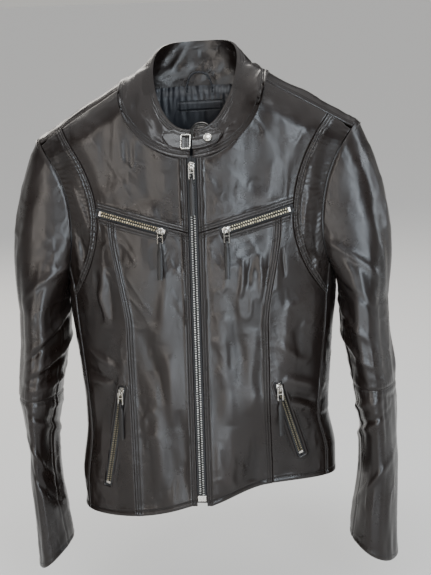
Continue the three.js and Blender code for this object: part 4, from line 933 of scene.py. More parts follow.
def frontPanels(side, wing):
    edge = cut["zipEdge"]

    def place(grid):
        return shell(wing, grid[..., 0], grid[..., 1])

    def yokeTop(u):
        share = 0.62
        neckEnd = torso["neckHalf"] - 0.6
        start, stop = math.asin(edge / torso["neckHalf"]), math.asin(neckEnd / torso["neckHalf"])
        out = torso["neckHalf"] * np.sin(mix(start, stop, np.minimum(u / share, 1)))
        round_ = byAngle(out, np.minimum(neckHeight(out), seamHeight(out)))
        out = mix(neckEnd, seamTopOut, np.maximum(0, (u - share) / (1 - share)))
        return np.where((u < share)[:, None], round_, byAngle(out, seamHeight(out)))

    cornerTop = chestZipHeight(cut["corner"]) + edge
    yokeFoot = chestZipHeight(edge) + edge

    def yokeRight(v):
        z = mix(cornerTop, seamHeight(seamTopOut), v)
        return byAngle(panelSeamOut(z), z)

    cols, rows = gridSize(150, 130)
    grid = patchGrid(
        lambda v: byAngle(edge, mix(yokeFoot, neckHeight(edge), v)), yokeRight,
        lambda u: byAngle(mix(edge, panelSeamOut(cornerTop), u), mix(yokeFoot, cornerTop, u)),
        yokeTop, cols, rows,
    )
    leatherPanel(f"front_yoke_{side}", grid, place, {
        "left": seam((2.6, 6.2), 1.25, 0.12, seed=1), "low": seam((2.6, 6.2), 0.8, 0.3, seed=2),
        "right": seam(pucker=0.25, seed=3), "high": seam((2.8,), 0.4, 0.2, span=(0.03, 0.6), seed=4),
    }, calm=0.75)

    topZ = panelTop(cut["princess"][0])
    cols, rows = gridSize(98, 330)

    def panelHigh(u):
        out = mix(edge, princessOut(topZ), u)
        return byAngle(out, panelTop(out))

    def princessLine(v):
        z = mix(hem, topZ, v)
        return byAngle(princessOut(z), z)

    grid = patchGrid(
        lambda v: byAngle(edge, mix(hem, panelTop(edge), v)), princessLine,
        lambda u: byAngle(mix(edge, princessOut(hem), u), hem), panelHigh, cols, rows,
    )
    leatherPanel(f"front_panel_{side}", grid, place, {
        "left": seam((2.6, 6.2), 1.25, 0.15, seed=5), "right": seam((2.6, 6.2), 1.25, 0.5, seed=6),
        "low": seam((6.5,), 0.5, 0.25, seed=7), "high": seam((4.2,), 0.7, 0.3, seed=8),
    })

    cornerZ = panelTop(cut["corner"])
    cols, rows = gridSize(58, 330)

    def sideHigh(u):
        out = mix(princessOut(topZ), panelSeamOut(cornerZ), u)
        return byAngle(out, panelTop(out))

    def sideRight(v):
        z = edgeHeight(v, 0.6, cornerZ)
        return byAngle(np.where(z < knee, sideSeam(z), panelSeamOut(z)), z)

    grid = patchGrid(
        princessLine, sideRight, lambda u: byAngle(mix(princessOut(hem), sideSeam(hem), u), hem),
        sideHigh, cols, rows,
    )
    leatherPanel(f"front_side_{side}", grid, place, {
        "left": seam(pucker=0.4, seed=9), "right": seam(pucker=0.35, seed=10),
        "low": seam((6.5,), 0.5, 0.25, seed=11), "high": seam((4.2,), 0.7, 0.3, seed=12),
    }, keep=lambda middle: outsidePocket(middle, zips[f"hand_zip_{side}"]))

    cols, rows = gridSize(42, 230, 0.75)

    def panelSeamLine(v):
        z = mix(knee, seamHeight(seamTopOut), v)
        return byAngle(panelSeamOut(z), z)

    def rim(v):
        z = mix(sideSeamTop, seamHeight(torso["shoulderHalf"]), v)
        return byAngle(armholeOut(z), z)

    def panelFoot(u):
        z = mix(knee, sideSeamTop, u)
        return byAngle(sideSeam(z), z)

    def panelHead(u):
        out = mix(seamTopOut, armholeOut(seamHeight(torso["shoulderHalf"])), u)
        return byAngle(out, seamHeight(out))

    grid = patchGrid(panelSeamLine, rim, panelFoot, panelHead, cols, rows)
    leatherPanel(f"shoulder_panel_{side}", grid, place, {
        "left": seam((2.6, 6.2), 1.25, 1.2, seed=13), "right": seam(pucker=0.5, sink=2.4, seed=14),
        "low": seam(seed=15), "high": seam(seed=16),
    })


# back panels
back = {"yokeDrop": 150, "seamOut": 96}
backZ = -back["yokeDrop"]


def rimSpot(wing, run):
    out = np.full_like(np.asarray(run, float), torso["shoulderHalf"])
    for _ in range(12):
        out = armholeOut(np.minimum(heightOver(out, run), -torso["shoulderDrop"]))
    return pair(wing * out, run)


def backPanels():
    drop, seamDrop = torso["neckDropFront"], cut["shoulderSeam"]
    cornerCos = (math.sqrt(drop ** 2 + 4 * neckRise * seamDrop) - drop) / (2 * neckRise)
    cornerTurn = math.acos(cornerCos)
    topRun = float(overRidge(torso["shoulderHalf"], seamHeight(torso["shoulderHalf"]), 1))
    lowRun = float(overRidge(armholeOut(backZ), backZ, -1))
    tipOut = float(rimSpot(1, topRun)[0])

    def yokeTop(u):
        wing = signOf(u - 0.5)
        t = np.abs(u - 0.5) * 2
        share = 0.6
        out = mix(torso["neckHalf"] * math.sin(cornerTurn), tipOut, np.clip((t - share) / (1 - share), 0, 1))
        along = pair(wing * out, overRidge(out, seamHeight(out), 1))
        turn = mix(math.pi, cornerTurn, np.minimum(t / share, 1))
        x = wing * torso["neckHalf"] * np.sin(turn)
        front = turn < math.pi / 2
        z = np.where(front, torso["neckDropFront"], torso["neckDropBack"]) * -np.abs(np.cos(turn))
        round_ = pair(x, overRidge(x, z, np.where(front, 1, -1)))
        return np.where((t > share)[:, None], along, round_)

    def yokeLow(u):
        x = mix(-1, 1, u) * armholeOut(backZ)
        return pair(x, overRidge(x, backZ, -1))

    cols, rows = gridSize(360, 170)
    grid = patchGrid(
        lambda v: rimSpot(-1, mix(lowRun, topRun, v)), lambda v: rimSpot(1, mix(lowRun, topRun, v)),
        yokeLow, yokeTop, cols, rows,
    )
    leatherPanel("back_yoke", grid, lambda g: shellOver(g[..., 0], g[..., 1]), {
        "left": seam(pucker=0.25, seed=21), "right": seam(pucker=0.25, seed=22),
        "low": seam((2.8, 6.2), 0.7, 0.3, seed=23), "high": seam((2.8, 6.2), 0.6, 0.2, seed=24),
    }, calm=0.7)

    out = back["seamOut"]
    cols, rows = gridSize(190, 370)
    grid = patchGrid(
        lambda v: pair(-out, mix(hem, backZ, v)), lambda v: pair(out, mix(hem, backZ, v)),
        lambda u: pair(mix(-out, out, u), hem), lambda u: pair(mix(-out, out, u), backZ), cols, rows,
    )
    leatherPanel("back_panel", grid, lambda g: backPoint(g[..., 0], g[..., 1]), {
        "left": seam((2.8, 6.2), 0.7, 0.4, seed=25), "right": seam((2.8, 6.2), 0.7, 0.4, seed=26),
        "low": seam((6.5,), 0.5, 0.25, seed=27), "high": seam(seed=28),
    })
    for side, wing in wings:
        backSide(side, wing)


def backSide(side, wing):
    rise = sideSeamTop + torso["armpit"]
    share, turn = 0.62, 0.28

    def rim(u):
        t = np.clip(u / share, 0, 1)
        z = -torso["armpit"] + rise * (1 - np.clip(t / turn, 0, 1)) ** 2
        first = byAngle(armholeOut(z), z)
        climb = np.clip((t - turn) / (1 - turn), 0, 1) ** 1.7
        z = -torso["armpit"] + (torso["armpit"] - back["yokeDrop"]) * climb
        second = byBackAngle(armholeOut(z), z)
        t = np.clip((u - share) / (1 - share), 0, 1)
        third = byBackAngle(mix(armholeOut(backZ), back["seamOut"], t), backZ)
        return np.where((u > share)[:, None], third, np.where((u / share < turn)[:, None], first, second))

    def seamUp(v):
        z = edgeHeight(v, 0.75, sideSeamTop)
        return byAngle(sideSeam(z), z)

    def foot(u):
        return pair(mix(angleAt(sideSeam(hem), hem), -angleAt(back["seamOut"], hem), u), hem)

    cols, rows = gridSize(150, 330)
    grid = patchGrid(seamUp, lambda v: byBackAngle(back["seamOut"], mix(hem, backZ, v)), foot, rim, cols, rows)
    leatherPanel(f"back_side_{side}", grid, lambda g: shell(wing, g[..., 0], g[..., 1]), {
        "left": seam((2.8,), 0.5, 0.35, seed=29), "right": seam(pucker=0.3, seed=30),
        "low": seam((6.5,), 0.5, 0.25, seed=31), "high": seam(seed=32),
    })


# where each zip runs
zipSize = {
    "plate": 1.2, "plateGap": 0.4, "chainThick": 2.5, "rowSink": 0.6, "post": 0.7, "pitch": 2.9,
}
rowTop = zipSize["chainThick"] / 2 - zipSize["rowSink"]
rowLow = rowTop - zipSize["chainThick"]
rowMiddle = (rowTop + rowLow) / 2
plateTop = rowTop + zipSize["plateGap"] + zipSize["plate"]


def outwardAt(point):
    if abs(point[0]) < 1:
        return np.array([0.0, -1, 0])
    step = frontPoint(point[0] + 2, point[2]) - frontPoint(point[0] - 2, point[2])
    return unit(np.array([step[1], -step[0], 0]))


def zipAxes(start, end):
    along = end - start
    length = np.linalg.norm(along)
    along = along / length
    out = outwardAt(start + along * length / 2)
    out = unit(out - along * out.dot(along))
    return {"start": start, "along": along, "length": length, "out": out, "across": np.cross(along, out)}


def zipLines():
    top = float(neckHeight(cut["zipEdge"])) - 12
    lines = {"front_zip": zipAxes(frontPoint(0, top), frontPoint(0, hem + 12))}
    for side, wing in wings:
        start, end = (frontPoint(wing * cut[k][0], -cut[k][1]) for k in ("chestIn", "chestOut"))
        lines[f"chest_zip_{side}"] = zipAxes(start, end)
        start, end = (frontPoint(wing * cut[k][0], hem + cut[k][1]) for k in ("handIn", "handOut"))
        lines[f"hand_zip_{side}"] = zipAxes(start, end)
    return lines


zips = zipLines()


def onZip(zipLine, points):
    # from across, along, out of the jacket to the jacket's own axes
    points = np.asarray(points, float)
    turn = np.stack([zipLine["across"], zipLine["along"], zipLine["out"]])
    return zipLine["start"] + points @ turn


pocketSlot = {"half": 6.0, "tail": 8.5}


def outsidePocket(middle, zipLine):
    local = (middle - zipLine["start"]) @ np.stack([zipLine["across"], zipLine["along"], zipLine["out"]]).T
    inside = (np.abs(local[..., 0]) < pocketSlot["half"]) & (np.abs(local[..., 2]) < 30)
    ends = (local[..., 1] > -pocketSlot["tail"]) & (local[..., 1] < zipLine["length"] + pocketSlot["tail"])
    return ~(inside & ends)


for side, wing in wings:
    frontPanels(side, wing)
print("front panels are cut and stitched")
backPanels()
print("back panels are cut and stitched")

# sleeves
arm = {
    "length": 545, "elbowBelowTip": 322, "cuffSlant": 15, "clear": 5, "gap": 0.8, "around": 150,
    "fullness": {"left": 0.72, "right": 1.0}, "rowStep": 2.4,
}
tipZ = -torso["shoulderDrop"]
elbowZ = tipZ - arm["elbowBelowTip"]
cuffZ = tipZ - arm["length"]
armpitZ = -torso["armpit"]
armTilt = torso["tilt"] * torso["shoulderHalf"]
armLine = through([
    (armpitZ, 0), (armpitZ - 65, 0), (elbowZ, 13), (elbowZ - 60, 21), (elbowZ - 90, 21), (cuffZ, 6),
])
armWidth = through([
    (armpitZ, 58), (armpitZ - 65, 60), (elbowZ, 53), (elbowZ - 65, 47), (elbowZ - 110, 50), (cuffZ, 60),
])
armDepth = through([(armpitZ, 62), (elbowZ, 56), (cuffZ, 46)])
armForward = through([(armpitZ, -2), (elbowZ, -8), (cuffZ, -20)])


def armRing(side, wing, z, inset, slant, turn):
    narrow = mix(1, arm["fullness"][side], ease(elbowZ + 10, elbowZ - 80, z))
    width = armWidth(z) * narrow
    inner = torso["chestHalf"] + arm["clear"] + armLine(z)
    x = inner + width / 2 + (width / 2 - inset) * np.cos(turn)
    y = armForward(z) - (armDepth(z) - inset) * np.sin(turn)
    return np.stack([wing * x, y, z - slant * np.cos(turn - 0.3) + wing * armTilt], -1)


def armholeRing(wing, inset, turn):
    z = (tipZ + armpitZ) / 2 + (tipZ - armpitZ) / 2 * np.cos(turn)
    front = np.sin(turn) >= 0
    angle = np.maximum(tiny, angleAt(armholeOut(z), z))
    p = shell(wing, np.where(front, angle, -angle), z)
    middle = (tipZ + armpitZ) / 2
    centre = np.stack([p[:, 0], 0 * p[:, 0], middle + lean(p[:, 0], middle)], -1)
    inward = unit((centre - p) * (0, 1, 1))
    p = p + inward * inset
    p[:, 0] += wing * arm["gap"]
    return p


def upperArm(side, wing, inset, turn):
    first = armholeRing(wing, inset, turn)
    full = armRing(side, wing, armpitZ - 30, inset, 0, turn)
    share = (1 + np.cos(turn)) / 2
    rings = []
    for t in np.linspace(0, 1, 60):
        across = mix(t, math.sin(t * math.pi / 2), share)
        x = mix(first[:, 0], full[:, 0], across) + wing * math.sin(math.pi * t) * 9 * share
        rings.append(np.stack([x, mix(first[:, 1], full[:, 1], t), mix(first[:, 2], full[:, 2], t)], -1))
    steps = int((armpitZ - 30 - elbowZ) / arm["rowStep"])
    for k in range(1, steps + 1):
        rings.append(armRing(side, wing, mix(armpitZ - 30, elbowZ, k / steps), inset, 0, turn))
    return np.stack(rings)


def lowerArm(side, wing, inset, turn):
    low = cuffZ + arm["cuffSlant"]
    steps = int((elbowZ - low) / arm["rowStep"])
    rings = []
    for k in range(steps + 1):
        share = k / steps
        z, slant = mix(elbowZ - 0.2, low, share), arm["cuffSlant"] * share ** 2
        rings.append(armRing(side, wing, z, inset, slant, turn))
    return np.stack(rings)


# folds on the sleeves: height, turn (0 outside, 90 front, 180 inside), lean, half height, rise
sleeveFolds = {
    "left": [
        (-300, 150, 22, 5, 2.2), (-318, 120, 26, 4, -1.6), (-334, 160, 18, 5, 2.4), (-352, 140, 14, 4, -1.8),
        (-372, 150, 10, 5, 2.6), (-388, 110, 8, 4, 1.7), (-404, 150, -8, 5, 2.3), (-420, 130, -14, 4, -1.8),
        (-434, 160, -16, 5, 2.0), (-470, 100, -30, 6, 1.7), (-510, 120, -34, 6, -1.5), (-230, 120, 36, 6, 1.8),
    ],
    "right": [
        (-290, 150, 26, 5, 1.9), (-330, 150, 20, 5, 2.0), (-372, 160, 10, 5, 2.4), (-390, 40, 4, 3, -1.5),
        (-408, 150, -10, 5, 2.2), (-424, 120, -14, 4, -1.6), (-440, 150, -18, 5, 1.9), (-500, 110, -30, 6, 1.6),
        (-210, 100, 40, 6, 1.7), (-250, 130, 34, 5, -1.5),
    ],
}


def sleeveRelief(p, turn, side):
    z = p[..., 2]
    degrees = np.broadcast_to(np.degrees(turn), z.shape)
    ring = np.stack([np.cos(turn) * 1.7, np.sin(turn) * 1.7, 0 * turn], -1)
    ring = np.broadcast_to(ring, (*z.shape, 3)).copy()
    ring[..., 2] = z / 95
    height = 2.6 * softNoise(ring, 41) + 1.2 * softNoise(ring * (2.3, 2.3, 1.6), 42)
    ring[..., 2] = z / 20
    height += 0.8 * rolled(ring * (1.5, 1.5, 1), 43) + 0.5 * rolled(p / (12, 12, 18), 44)
    for level, middle, tilt, half, rise in sleeveFolds[side]:
        off = (degrees - middle + 180) % 360 - 180
        line = level + tilt * off / 60 + 4 * softNoise(ring * (1, 1, 0.3) + level, 45)
        height += 1.3 * rise * np.exp(-((z - line) / half) ** 2) * np.exp(-(off / 62) ** 2)
    return height


def sleevePiece(name, side, wing, build, inset, thick, edges, calm, cloth):
    turn = np.linspace(0, 2 * math.pi, arm["around"], endpoint=False)
    flat = build(side, wing, inset, turn)
    normal = gridNormals(flat, True)
    centre = flat.mean(1, keepdims=True)
    if (normal * (flat - centre)).sum() < 0:
        normal = -normal
    runs = edgeRuns(flat)
    height, near = seamRelief(runs, edges)
    folds = sleeveRelief(flat, turn, side) * calm * mix(0.2, 1, ease(0, 22, near))
    if not cloth:
        # the seam that runs down the inside of the sleeve, and its partner behind
        for middle in (math.pi * 0.86, math.pi * 1.4):
            aside = np.abs((turn - middle + math.pi) % (2 * math.pi) - math.pi) * 45
            height += -1.0 * np.exp(-(aside / 1.0) ** 2) + 0.35 * np.exp(-((aside - 3.4) / 1.8) ** 2)
    outer = flat + normal * (height + folds)[..., None]
    inner = flat + normal * (np.minimum(height, 0) + np.minimum(folds, 3) - thick)[..., None]
    shapes = [(*closedSheet(outer, inner, wrap=True), 0)]
    shapes += stitchRows(runs, edges, outer, normal, 0.2, True)
    # painted highlight: lighter on fold crests and along seam edges, darker in fold hollows as painted shade
    highlightAmount = np.clip(0.1 + 0.14 * folds + 0.5 * np.exp(-near / 1.6), 0, 1).ravel()
    skins = [satin, thread] if cloth else [leatherSkin, thread]
    return makePiece(name, shapes, skins, [name], highlightAmount)


def sleeves():
    topEdge = seam(pucker=0.9, sink=1.2, roll=1.4, seed=51)
    elbowUp = seam(pucker=0.5, sink=1.1, roll=1.3, seed=52)
    elbowDown = seam((2.6,), 0.4, 0.5, sink=1.1, roll=1.3, seed=53)
    cuff = seam((6.5,), 0.6, 0.3, seed=54)
    for side, wing in wings:
        parts = (
            (f"upper_sleeve_{side}", upperArm, 0, 1.8, {"low": topEdge, "high": elbowUp}, 1, False),
            (f"upper_sleeve_lining_{side}", upperArm, 4.4, 0.5, {}, 0.4, True),
        )
        for name, build, inset, thick, edges, calm, cloth in parts:
            piece = sleevePiece(name, side, wing, build, inset, thick, edges, calm, cloth)
            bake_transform(piece)
        # the leather turned in behind the armhole seam
        turn = np.linspace(0, 2 * math.pi, arm["around"], endpoint=False)
        band, inside = (
            np.stack([armholeRing(wing, inset, turn) + (wing * out, 0, 0) for out in (-8, -5, -2, 1, 3)])
            for inset in (3.6, 4.6)
        )
        shapes = [(*closedSheet(band, inside, wrap=True), 0)]
        piece = makePiece(f"armhole_band_{side}", shapes, [leatherSkin])
        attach(piece, "jacket_body")
        parts = (
            (f"lower_sleeve_{side}", lowerArm, 0, 1.8, {"low": elbowDown, "high": cuff}, 1, False),
            (f"lower_sleeve_lining_{side}", lowerArm, 4.4, 0.5, {}, 0.4, True),
        )
        for name, build, inset, thick, edges, calm, cloth in parts:
            piece = sleevePiece(name, side, wing, build, inset, thick, edges, calm, cloth)
            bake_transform(piece)


sleeves()
print("sleeves are set in")


# shapes for the small parts
def lathe(profile, place, axis, side, count=28, ripple=None):
    # a profile of [radius, height] turned round an axis
    ups, other = unit(np.asarray(axis, float)), unit(np.cross(axis, side))
    side = unit(np.cross(other, ups))
    turn = np.linspace(0, 2 * math.pi, count, endpoint=False)
    rings = []
    for radius, height in profile:
        lift = height + (ripple(radius, turn) if ripple else 0 * turn)
        flat = radius * (np.cos(turn)[:, None] * side + np.sin(turn)[:, None] * other)
        rings.append(place + flat + lift[:, None] * ups)
    points = np.concatenate(rings)
    return points, facing(points, np.array(bands(len(profile), count)))


def prism(outline, low, high, chamfer, shrink):
    # a flat plate with its edges taken off, from an even number of corners
    outline = np.asarray(outline, float)
    count = len(outline)
    layers = ((low, 1 - shrink), (low + chamfer, 1), (high - chamfer, 1), (high, 1 - shrink))
    points = np.concatenate([np.column_stack([outline * s, np.full(count, z)]) for z, s in layers])
    faces = bands(len(layers), count)
    for k in range(1, count - 2, 2):
        faces.append([0, k + 2, k + 1, k])
        faces.append([3 * count, 3 * count + k, 3 * count + k + 1, 3 * count + k + 2])
    return points, facing(points, np.array(faces))


def rounded(wide, thick, soft):
    x, y = wide / 2, thick / 2
    return [(-x, -y + soft), (-x + soft, -y), (x - soft, -y), (x, -y + soft),
            (x, y - soft), (x - soft, y), (-x + soft, y), (-x, y - soft)]


def disc(radius, sides):
    turns = np.arange(0, 2 * math.pi, 2 * math.pi / sides)
    return [(math.cos(a) * radius, math.sin(a) * radius) for a in turns]


def cornerArcs(half, low, high, soft, steps):
    # the four round corners of a frame, each a list of (x, y, angle)
    arcs = []
    for cx, cy, start in ((half - soft, high - soft, 0), (-half + soft, high - soft, 90),
                          (-half + soft, low + soft, 180), (half - soft, low + soft, 270)):
        turns = [math.radians(start + k * 90 / steps) for k in range(steps + 1)]
        arcs.append([(cx + soft * math.cos(a), cy + soft * math.sin(a), a) for a in turns])
    return arcs


def moved(shape, turn, place):
    points, faces = shape
    points = points @ np.asarray(turn) + place
    return points, facing(points, faces)


# collar, its patches, tab, cap and ring
collar = {
    "frontHigh": 30, "topHalf": 54, "topBack": 38, "leanBack": 18, "backOut": 60, "thick": 2.8, "endTurn": 0.02,
    "patchStart": 0.04, "patchEnd": 0.5, "patchRise": 1.9, "tabStart": 0.01, "tabEnd": 0.51, "tabMiddle": 0.5,
    "tabHalf": 0.22, "tabLow": 2.7, "tabThick": 2.0, "capTurn": 0.26, "capRadius": 5.2,
}


def neckSeam(turn, inset):
    around = np.abs(turn)
    x = signOf(turn) * torso["neckHalf"] * np.sin(around)
    front = around < math.pi / 2
    z = -np.where(front, torso["neckDropFront"], torso["neckDropBack"]) * np.abs(np.cos(around))
    return np.where(front[..., None], frontPoint(x, z, inset), backPoint(x, z, inset))


def collarTop(turn, inset):
    around = np.abs(turn)
    x = signOf(turn) * (collar["topHalf"] - inset) * np.sin(around) ** 0.8
    share = (1 + np.cos(around)) / 2
    y = mix(collar["backOut"] - inset, -(torso["frontTop"] - collar["leanBack"]) + inset, share)
    z = mix(collar["topBack"], collar["frontHigh"] - torso["neckDropFront"], share ** 2) + torso["tilt"] * x
    return np.stack([x, y, z], -1)


def collarSpot(turn, share, inset=0.0):
    turn, share = np.broadcast_arrays(np.asarray(turn, float), np.asarray(share, float))
    return mix(neckSeam(turn, inset), collarTop(turn, inset), share[..., None])


def collarAxes(turn, share):
    spot = collarSpot(turn, share)
    up = unit(collarSpot(turn, 1.0) - collarSpot(turn, 0.0))
    across = unit(collarSpot(turn + 0.03, share) - spot)
    out = unit(np.cross(across, up))
    if out[1] > 0:
        out = -out
    return spot, unit(np.cross(up, out)), out


def sewnSheet(name, outer, inner, normal, edges, folds, stands, skins):
    runs = edgeRuns(outer)
    height, near = seamRelief(runs, edges)
    lifted = outer + normal * (height + folds)[..., None]
    shapes = [(*closedSheet(lifted, inner + normal * (folds * 0.6)[..., None]), 0)]
    shapes += stitchRows(runs, edges, lifted, normal, 2.0)
    # painted highlight: lighter on fold crests and along seam edges, darker in fold hollows as painted shade
    highlightAmount = np.clip(0.12 + 0.16 * folds + 0.5 * np.exp(-near / 1.6), 0, 1).ravel()
    return makePiece(name, shapes, skins, stands, highlightAmount)


def makeCollar():
    turn = np.linspace(collar["endTurn"], 2 * math.pi - collar["endTurn"], 260)
    turn = np.where(turn <= math.pi, turn, turn - 2 * math.pi)
    share = np.concatenate([np.linspace(-0.07, 0.3, 22), np.linspace(0.34, 0.78, 14), np.linspace(0.8, 1, 15)])
    turnGrid, shareGrid = np.meshgrid(turn, share)
    outer = collarSpot(turnGrid, shareGrid)
    inner = collarSpot(turnGrid, shareGrid, collar["thick"])
    normal = unit(outer - inner)
    drift = np.stack([turnGrid * 5.2 + shareGrid * 2.5, shareGrid * 3.4 - turnGrid * 1.2, 0 * turnGrid], -1)
    folds = 1.8 * softNoise(drift, 61) + 1.5 * rolled(drift * 1.6, 62) + 0.7 * rolled(drift * 3.2, 63)
    folds *= ease(0.02, 0.3, shareGrid) * ease(1.0, 0.72, shareGrid)
    piece = sewnSheet("collar", outer, inner, normal, {
        "low": seam((5.6, 9.0), 0.6, 0.5, seed=61),
        "high": seam((2.6, 6.0), 0.8, 0.3, roll=1.6, sink=1.4, seed=62),
        "left": seam(roll=1.4, sink=1.2), "right": seam(roll=1.4, sink=1.2),
    }, folds, ["collar"], [leatherSkin, thread])
    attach(piece, "jacket_body")
    for side, wing in wings:
        u, v = np.meshgrid(np.linspace(0, 1, 30), np.linspace(0, 1, 18))
        narrow = 1 - 0.75 * np.maximum(0, u - 0.6) / 0.4
        at = wing * mix(collar["patchStart"], collar["patchEnd"], u)
        height = 0.52 + (v - 0.5) * 0.72 * narrow
        outer = collarSpot(at, height, -collar["patchRise"])
        inner = collarSpot(at, height, -0.2)
        folds = 0.25 * softNoise(outer / 7, 64)
        style = seam((2.0,), 0.0, 0.12, roll=0.9, sink=0.9, seed=65)
        piece = sewnSheet(f"collar_tab_base_{side}", outer, inner, unit(outer - inner), {
            edge: style for edge in ("low", "high", "right", "left")
        }, folds, [f"collar_tab_base_{side}"], [leatherSkin, thread])
        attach(piece, "jacket_body")
    u, v = np.meshgrid(np.linspace(0, 1, 40), np.linspace(0, 1, 16))
    narrow = 1 - 0.7 * np.maximum(0, u - 0.7) / 0.3
    at = mix(collar["tabStart"], collar["tabEnd"], u)
    height = collar["tabMiddle"] + (v - 0.5) * 2 * collar["tabHalf"] * narrow
    outer = collarSpot(at, height, -collar["tabLow"] - collar["tabThick"])
    inner = collarSpot(at, height, -collar["tabLow"])
    style = seam((1.9,), 0.0, 0.1, roll=1.0, sink=1.0, seed=66)
    folds = 0.2 * softNoise(outer / 9, 66)
    piece = sewnSheet("collar_tab", outer, inner, unit(outer - inner), {
        edge: style for edge in ("low", "high", "right")
    }, folds, ["collar_tab"], [leatherSkin, thread])
    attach(piece, "collar_tab")
    spot, across, out = collarAxes(collar["capTurn"], collar["tabMiddle"])
    r = collar["capRadius"]
    profile = [(0.02, 1.75), (r * 0.45, 1.68), (r * 0.72, 1.42), (r * 0.78, 1.2), (r * 0.86, 1.32),
               (r * 0.97, 0.95), (r, 0.45), (r * 0.97, 0.0), (r * 0.6, -0.3), (0.02, -0.3)]
    lift = collar["tabLow"] + collar["tabThick"] + 0.3
    shapes = [(*lathe(profile, spot + out * lift, out, across, 36), 0)]
    cap = makePiece("snap_cap", shapes, [nickel], ["snap_cap"])
    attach(cap, "collar_tab")
    makeRing()


ring = {"wide": 13, "high": 20, "wire": 2, "soft": 2.0}


def makeRing():
    low, high = (np.array(corner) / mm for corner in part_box("tab_ring"))
    middle = (low + high) / 2
    tilt = math.atan2(collar["leanBack"], collar["frontHigh"])
    x, y = np.array([1.0, 0, 0]), np.array([0, math.sin(tilt), math.cos(tilt)])
    z = np.cross(x, y)
    halfX, halfY = (ring["wide"] - ring["wire"]) / 2, (ring["high"] - ring["wire"]) / 2
    flat = np.concatenate(cornerArcs(halfX, -halfY, halfY, ring["soft"], 5))
    path = middle + flat[:, :1] * x + flat[:, 1:2] * y
    ahead = unit(np.roll(path, -1, 0) - np.roll(path, 1, 0))
    sides = np.cross(ahead, z)
    ups = np.broadcast_to(z, path.shape)
    shapes = [(*sweep(path, disc(ring["wire"] / 2, 10), sides, ups, True), 0)]
    piece = makePiece("tab_ring", shapes, [nickel], ["tab_ring"], crisp=70)
    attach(piece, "tab_ring")


makeCollar()
print("collar, tab and ring are on")

# lining, pocket bags and what is sewn inside the neck
lining = {"inset": 9, "thick": 0.8, "zipOut": 14, "hemUp": 14, "neckTop": -17}
liningSideTop = armpitZ - 6
liningHem = hem + lining["hemUp"]


def liningPiece(name, grid, place, gathers, inset):
    flat = place(grid, inset)
    normal = gridNormals(flat)
    if (normal * flat * (1, 1, 0)).sum() < 0:
        normal = -normal
    folds = 0.9 * softNoise(flat / (14, 20, 46), 71) + 0.5 * creased(flat / (9, 12, 20), 72) + gathers(flat)
    outer = flat + normal * folds[..., None]
    inner = outer - normal * lining["thick"]
    piece = makePiece(name, [(*closedSheet(outer, inner), 0)], [satin], [name])
    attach(piece, "jacket_body")
    return outer


def makeLining():
    rimTop = float(seamHeight(torso["shoulderHalf"])) - 4
    top = lining["neckTop"]
    for side, wing in wings:
        def rim(v):
            z = mix(liningHem, rimTop, v)
            return byAngle(np.minimum(armholeOut(z), sideSeamOut(np.minimum(z, liningSideTop)) - 4), z)

        def head(u):
            end = min(float(armholeOut(rimTop)), float(sideSeamOut(liningSideTop)) - 4)
            out = mix(lining["zipOut"], end, u)
            neck = np.minimum(neckHeight(np.minimum(out + 5, torso["neckHalf"])), seamHeight(out) - 4) - 9
            z = np.where(out < torso["neckHalf"] - 6, neck, seamHeight(out) - 11)
            z[-1] = rimTop
            return byAngle(out, z)

        neckEnd, sideEnd = float(neckHeight(lining["zipOut"])) - 2, float(sideSeamOut(liningHem)) - 4
        grid = patchGrid(
            lambda v: byAngle(lining["zipOut"], mix(liningHem, neckEnd, v)), rim,
            lambda u: byAngle(mix(lining["zipOut"], sideEnd, u), liningHem), head, evenly(38), evenly(110),
        )
        liningPiece(f"front_lining_{side}", grid, lambda g, inset: shell(wing, g[..., 0], g[..., 1], inset),
                    lambda p: 0 * p[..., 0], lining["inset"])

    def outAt(v):
        z = mix(liningHem, top, v)
        side = halfWidth(liningSideTop) - 2
        above = mix(side, torso["neckHalf"] - 8, ease(liningSideTop, top, z))
        return np.where(z < liningSideTop, halfWidth(z) - 2, above)

    grid = patchGrid(
        lambda v: pair(-outAt(v), mix(liningHem, top, v)), lambda v: pair(outAt(v), mix(liningHem, top, v)),
        lambda u: pair(mix(-1, 1, u) * outAt(np.zeros(1)), liningHem),
        lambda u: pair(mix(-1, 1, u) * outAt(np.ones(1)), top), evenly(110), evenly(150),
    )
    inset = mix(lining["inset"], 3.4, ease(top - 14, top, grid[..., 1]))

    def gathers(p):
        below = np.maximum(0, top - p[..., 2])
        pleat = np.sin(p[..., 0] * 0.85 + 2.5 * softNoise(p / (20, 20, 60), 73))
        pleats = 0.6 * pleat * np.exp(-below / 20) * ease(0, 3, below)
        return pleats + 1.2 * creased(p / (12, 30, 50), 74) * np.exp(-below / 60)

    liningPiece("back_lining", grid, lambda g, deep: backPoint(g[..., 0], g[..., 1], deep), gathers, inset)
    for side, wing in wings:
        def block(inner, outer, low, high):
            u, v = np.meshgrid(np.linspace(0, 1, 16), np.linspace(0, 1, 24))
            out = mix(inner, outer, u)
            z = mix(low(out), high(out), v)
            return pair(angleAt(out, z), z)

        chest = block(cut["chestIn"][0] - 8, cut["chestOut"][0] - 10,
                      lambda out: 0 * out - torso["bustDrop"] - 12,
                      lambda out: chestZipHeight(out) - 2 * cut["zipEdge"])
        hand = block(cut["zipEdge"] + 12, cut["handIn"][0] - 2 * cut["zipEdge"],
                     lambda out: 0 * out + hem + 28, lambda out: 0 * out + hem + 150)
        for name, grid in ((f"chest_pocket_bag_{side}", chest), (f"hand_pocket_bag_{side}", hand)):
            flat, deep = (shell(wing, grid[..., 0], grid[..., 1], depth) for depth in (4.5, 5.7))
            wave = (flat - deep) * (0.35 * softNoise(flat / 16, 75))[..., None]
            shapes = [(*closedSheet(flat + wave, deep + wave), 0)]
            piece = makePiece(name, shapes, [satin], [name])
            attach(piece, "jacket_body")


